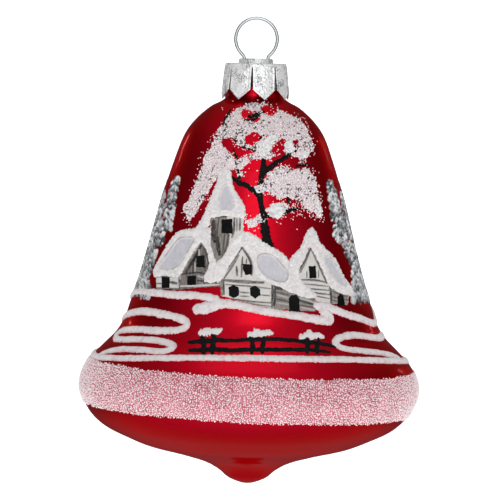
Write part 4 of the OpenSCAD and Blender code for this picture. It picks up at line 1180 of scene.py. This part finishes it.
x, y = grid_over(panes, WALL_PITCH)
deep = np.maximum.reduce([depth_in(x, y, pane, smooth=False) for pane in panes])
deep = deep + 0.16 * MM + 0.09 * MM * soft_noise(x, y, 0.5 * MM, 701)
swell = 1 + 0.2 * soft_noise(x, y, 0.3 * MM, 702)
lift = lifted(deep, WALL_T + 0.09 * MM * step(0, 0.3 * MM, deep) * swell)
lift = np.where((deep > 0) & (deep < 0.05 * MM), WALL_T * 0.7, lift)
windows = relief("window_dots", laid, x, y, lift)
joins_bell(windows, enamel, "black_paint", "church_tower", "left_cottage", "middle_cottage", "right_cottage")

# ---- Church and three cottages: snow on the roofs ----
# Thick white paste pushed along the eaves and ridges with a brush, round-edged and
# granular; the slopes are brushed thin in lilac grey inside a fine brown line.
ROOF_T = 0.4 * MM
LILAC, CONTOUR = np.array([0.56, 0.555, 0.60]), np.array([0.20, 0.15, 0.14])
CONTOUR_OUT, CONTOUR_W = 0.3 * MM, 0.13 * MM


def rounded(deep, width):
    """A round shoulder: 0 at the edge, rising as a quarter of an ellipse to 1 a width inside it."""
    return np.sqrt(np.clip(1 - (1 - np.clip(deep / width, 0, 1)) ** 2, 0, 1))


# Each roof: the outline of its snow, its brushed slopes, and the strength of the line
# round them.
roofs = {
    "church_snow": ([(-8, 74.6), (-6.6, 75.2), (-5.2, 74.6), (-5, 73), (-4.4, 70.6), (-3.2, 68.4),
                     (-2.1, 66.6), (-2.1, 64.1), (-4.5, 64.1), (-6, 64.4), (-8.6, 64.1), (-10, 63.9),
                     (-10.3, 62), (-13.4, 61), (-12, 63.4), (-11, 65.6), (-10, 68.2), (-8.8, 70.8), (-8, 73)],
                    [[(-6.4, 71.2), (-7.1, 69.7), (-7.7, 67.4), (-7.4, 66.2), (-5, 66), (-4.8, 67.7),
                      (-5.6, 69.9)]], 0.35),
    "left_cottage_snow": ([(-16.5, 61), (-13.2, 61.4), (-10, 61.6), (-9.9, 58.4), (-9.3, 55.6), (-8.6, 53.6),
                           (-7.2, 52), (-7.6, 50.2), (-9.6, 49.2), (-11.2, 49.4), (-11.4, 50.6), (-10.6, 52),
                           (-10.2, 54), (-11, 57), (-12, 58.4), (-13.4, 57), (-15.4, 53.6), (-17.3, 50.4),
                           (-20, 50.4), (-23, 50), (-23.2, 51.6), (-22.2, 53.6), (-18.8, 59.2)],
                          [[(-21.4, 52.5), (-20, 54.6), (-17.1, 58.5), (-15.2, 59), (-13.9, 58.8),
                            (-15.4, 56.3), (-17.2, 53.2), (-19.7, 52)]], 0.8),
    "middle_cottage_snow": ([(-2.4, 60.8), (-3.6, 60), (-5, 58.4), (-7.4, 54.6), (-8.6, 53.4), (-8.2, 51),
                             (-8.6, 49.6), (-7.6, 49.6), (-5.3, 53.4), (-3.2, 56.6), (-2.4, 57.4),
                             (-0.2, 54.2), (0.2, 51.6), (2.1, 49.8), (6, 48), (9.4, 46.4), (13.2, 45.2),
                             (14.4, 46), (11.6, 48.6), (9.6, 50.4), (8.4, 52.4), (7.6, 54.8), (5.4, 56.6),
                             (2.4, 58.4), (-0.2, 60.2)],
                            [[(1.2, 54.6), (2, 55.4), (4.2, 55), (6, 53.2), (7.5, 51.2), (7, 49.6), (5, 49.8),
                              (3.2, 50.6), (1.6, 52.4)]], 0.8),
    "right_cottage_snow": ([(13, 61.2), (14.4, 60.4), (15.2, 58.2), (16.8, 56.2), (18.8, 54), (20.9, 49.8),
                            (23.3, 45.8), (21.7, 45.4), (17.8, 47.5), (15, 53.4), (13.1, 57), (11.8, 54.4),
                            (10.5, 51.8), (10.9, 49.4), (12.4, 47.6), (11.2, 47.4), (9.2, 50.6), (8.3, 54),
                            (10.7, 56.9)],
                           [[(16.4, 54.2), (17.6, 54), (19.6, 50.6), (21, 48), (19.8, 48.4), (17.6, 51.4)]],
                           0.35),
}
for number, (name, (outline, planes, line_strength)) in enumerate(roofs.items()):
    seed = 801 + 20 * number
    x, y = grid_over([outline], 0.15 * MM)
    frayed = noise_sum(x, y, seed, (0.15 * MM, 0.45 * MM), (0.1 * MM, 0.24 * MM))
    deep = depth_in(x, y, outline) + frayed + 0.08 * MM
    plane = np.maximum.reduce([depth_in(x, y, p) for p in planes])
    flat = step(-0.25 * MM, 0.15 * MM, plane)
    grit = noise_sum(x, y, seed + 2, (1, 0.42 * MM), (0.7, 0.25 * MM))
    height = ROOF_T * 0.8 * (1 - 0.55 * flat) + (1 - 0.75 * flat) * 0.065 * MM * grit
    lift = lifted(deep, height * rounded(deep, 0.75 * MM))
    streaked = LILAC * (1 + 0.06 * soft_noise(x, y * 0.4, 0.3 * MM, seed + 4)[..., None])
    # Painted light and shade: the white paste is lighter where its grit stands high and darker in its
    # hollows.
    colours = over(SNOW_WHITE * (1 + 0.12 * grit[..., None]), streaked, flat)
    contour = np.exp(-((plane + CONTOUR_OUT) / CONTOUR_W) ** 2) * line_strength
    contour = contour * np.clip(0.85 + 0.5 * soft_noise(x, y, 1.2 * MM, seed + 5), 0, 1)
    colours = over(colours, CONTOUR, contour)
    roof = relief(name + "_paste", laid, x, y, lift, np.clip(colours, 0, 1))
    joins_bell(roof, snow_paste, "snow_paste", name)

# ---- Firs ----
# At each side five snowy firs and some low growth, dabbed with a nearly dry brush in
# grey and white: hundreds of short overlapping touches that droop outwards.
FIR_T = 0.24 * MM
FIR_PITCH = 0.19 * MM
DABS_A_TIER, LOW_DABS = 20, 420
FIR_TURNS = np.array([46.0, 148.0])
FIR_LOW, FIR_HIGH, FIR_R = 43.6 * MM, 74.4 * MM, 25 * MM
fir_paint = painted("fir_paint", 0.6, 0.00005, 2300, 500, specular=0.3)
# Each tree: its turn in degrees, foot, top and half width in millimetres, and tiers.
trees = ((63, 48, 73.5, 6.4, 10), (80, 48, 70, 7, 9), (97, 48, 72, 7, 9), (119, 48, 68, 6.5, 8),
         (135, 48, 64, 5, 6))


def dabs_of(trees, rng):
    """Touches of the brush as rows of (turn in degrees, height, half width, half height, lean, shade): tiers
    of boughs that widen downwards, then low growth. None lies on the houses' walls."""
    rows = []
    for centre, foot, top, half, tiers in trees:
        tier = np.repeat(np.arange(tiers), DABS_A_TIER)
        down = (tier + 0.7 + rng.uniform(-0.45, 0.45, len(tier))) / tiers
        side_on = rng.uniform(-1, 1, len(tier))
        height = top - (top - foot) * down - 1.5 * np.abs(side_on) * (top - foot) / tiers * 0.4
        offset = side_on * half * (0.2 + 0.8 * down)
        radius = radius_at(height * MM) / MM
        rows.append(np.stack([centre + np.degrees(offset / radius), height, rng.uniform(0.7, 1.5, len(tier)),
                              rng.uniform(0.4, 0.8, len(tier)), -0.6 * side_on,
                              rng.uniform(0, 1, len(tier)) ** 1.4], 1))
    low = LOW_DABS
    rows.append(np.stack([rng.uniform(54, 142, low), 44.6 + 11 * rng.uniform(0, 1, low) ** 1.5,
                          rng.uniform(0.6, 1.4, low),
                          rng.uniform(0.4, 1.1, low), rng.uniform(-0.6, 0.6, low),
                          rng.uniform(0.05, 0.75, low)], 1))
    rows = np.concatenate(rows)
    x = radius_at(rows[:, 1] * MM) / MM * np.sin(np.radians(rows[:, 0]))
    return rows[x > np.interp(rows[:, 1], [50, 54, 60, 66], [23.6, 22.6, 19.2, 17])]


for number, (name, hand) in enumerate((("left_firs", -1), ("right_firs", 1))):
    rng = np.random.default_rng(901 + number)
    dabs = dabs_of(trees, rng)
    dabs[:, 0] *= hand
    dabs[:, 4] *= hand
    turns = np.radians(np.sort(hand * FIR_TURNS))
    u, v = np.meshgrid(np.arange(turns[0], turns[1], FIR_PITCH / FIR_R),
                       np.arange(FIR_LOW, FIR_HIGH, FIR_PITCH))
    radius = radius_at(v)
    best, shade = np.full(u.shape, -1.0), np.zeros(u.shape)
    for turn, height, wide, tall, lean, grey in dabs:
        across, up = (u - math.radians(turn)) * radius / MM, v / MM - height
        up = up - lean * across * 0.5
        body = 1 - (across / wide) ** 2 - (up / tall) ** 2
        on_top = body > best - 0.15
        shade = np.where(on_top & (body > -0.2), grey + 0.25 * up / tall, shade)
        best = np.maximum(best, body)
    bristle = noise_sum(u * radius, v, 911 + 9 * number, (1, 0.28 * MM), (0.6, 0.7 * MM))
    body = best + 0.35 * bristle
    lift = lifted(body, FIR_T * (0.35 + 0.65 * np.sqrt(np.clip(body, 0, 1))) * (1 + 0.12 * bristle) * 0.92)
    lift = np.where((body > 0) & (body < 0.08), 0.02 * MM, lift)
    shade = np.clip(shade + 0.3 * bristle, 0, 1)[..., None]
    colours = (1 - shade) * [0.035, 0.042, 0.05] + shade * [0.82, 0.83, 0.84]
    firs = relief(name + "_dabs", on_glass, u, v, lift, colours)
    joins_bell(firs, fir_paint, "fir_paint", name)

# ---- Fence ----
# Two rails and three pairs of posts in one coat of black enamel, with a lump of white
# paste on the top of each pair.
rails = [
    [(-14.9, 35.8, 0.9), (-10, 36.3, 1.1), (-5, 36.3, 0.9), (0, 36.5, 1), (5, 36.5, 0.9), (14, 35.4, 1),
     (18.8, 34.2, 0.6)],
    [(-14.9, 34.1, 0.8), (-9, 34.3, 1.1), (-5, 34.2, 1), (0, 34.3, 1), (5, 34.2, 0.9), (13, 33.9, 1),
     (17.4, 33.2, 0.5)],
]
posts = [[(-11.6, 33.7, 1), (-11.5, 35, 1.3), (-11.9, 37.2, 1)],
         [(-9.6, 33.7, 1), (-9.5, 35, 1.3), (-9.2, 37.4, 1.1)],
         [(-0.5, 33.8, 1), (-0.4, 35, 1.2), (-0.6, 37.2, 1)],
         [(1.9, 33.8, 0.9), (2, 35, 1.2), (2.2, 36.9, 1)],
         [(12.1, 33.5, 1), (12.2, 34.8, 1.3), (12, 36.5, 1.1)],
         [(14.4, 33.4, 1), (14.4, 34.6, 1.3), (14.8, 36.2, 0.9)]]
x, y = grid_over([*rails, *posts], 0.15 * MM)
deep = brushed(x, y, rails + posts, 0.25, 951)
lift = lifted(deep, 0.15 * MM * step(0, 0.2 * MM, deep) * (1 + 0.25 * soft_noise(x, y, 0.3 * MM, 953)))
fence = relief("black_fence", laid, x, y, lift)
joins_bell(fence, enamel, "black_paint", "fence")

caps = [[(-12.3, 37.9, 1.2), (-10.6, 38.2, 1.9), (-9, 38.3, 1.4), (-7.6, 38.7, 0.8)],
        [(-1, 37.5, 1.2), (0.6, 37.8, 1.9), (2.2, 37.8, 1.5), (4, 37.9, 0.9)],
        [(11, 36.8, 1.2), (12.8, 37.1, 1.8), (14.2, 37, 1.4), (15.9, 36.6, 0.8)]]
x, y = grid_over(caps, 0.15 * MM)
deep = brushed(x, y, caps, 0.4, 961)
grit = noise_sum(x, y, 963, (1, 0.4 * MM), (0.6, 0.24 * MM))
lift = lifted(deep, (0.34 + 0.05 * grit) * MM * rounded(deep, 0.7 * MM))
# Painted light and shade: the paste is a little lighter where its grit stands high and darker in its hollows.
fence_caps = relief("fence_snow_paste", laid, x, y, lift, SNOW_WHITE * (1 + 0.04 * grit[..., None]))
joins_bell(fence_caps, snow_paste, "snow_paste", "fence_snow")
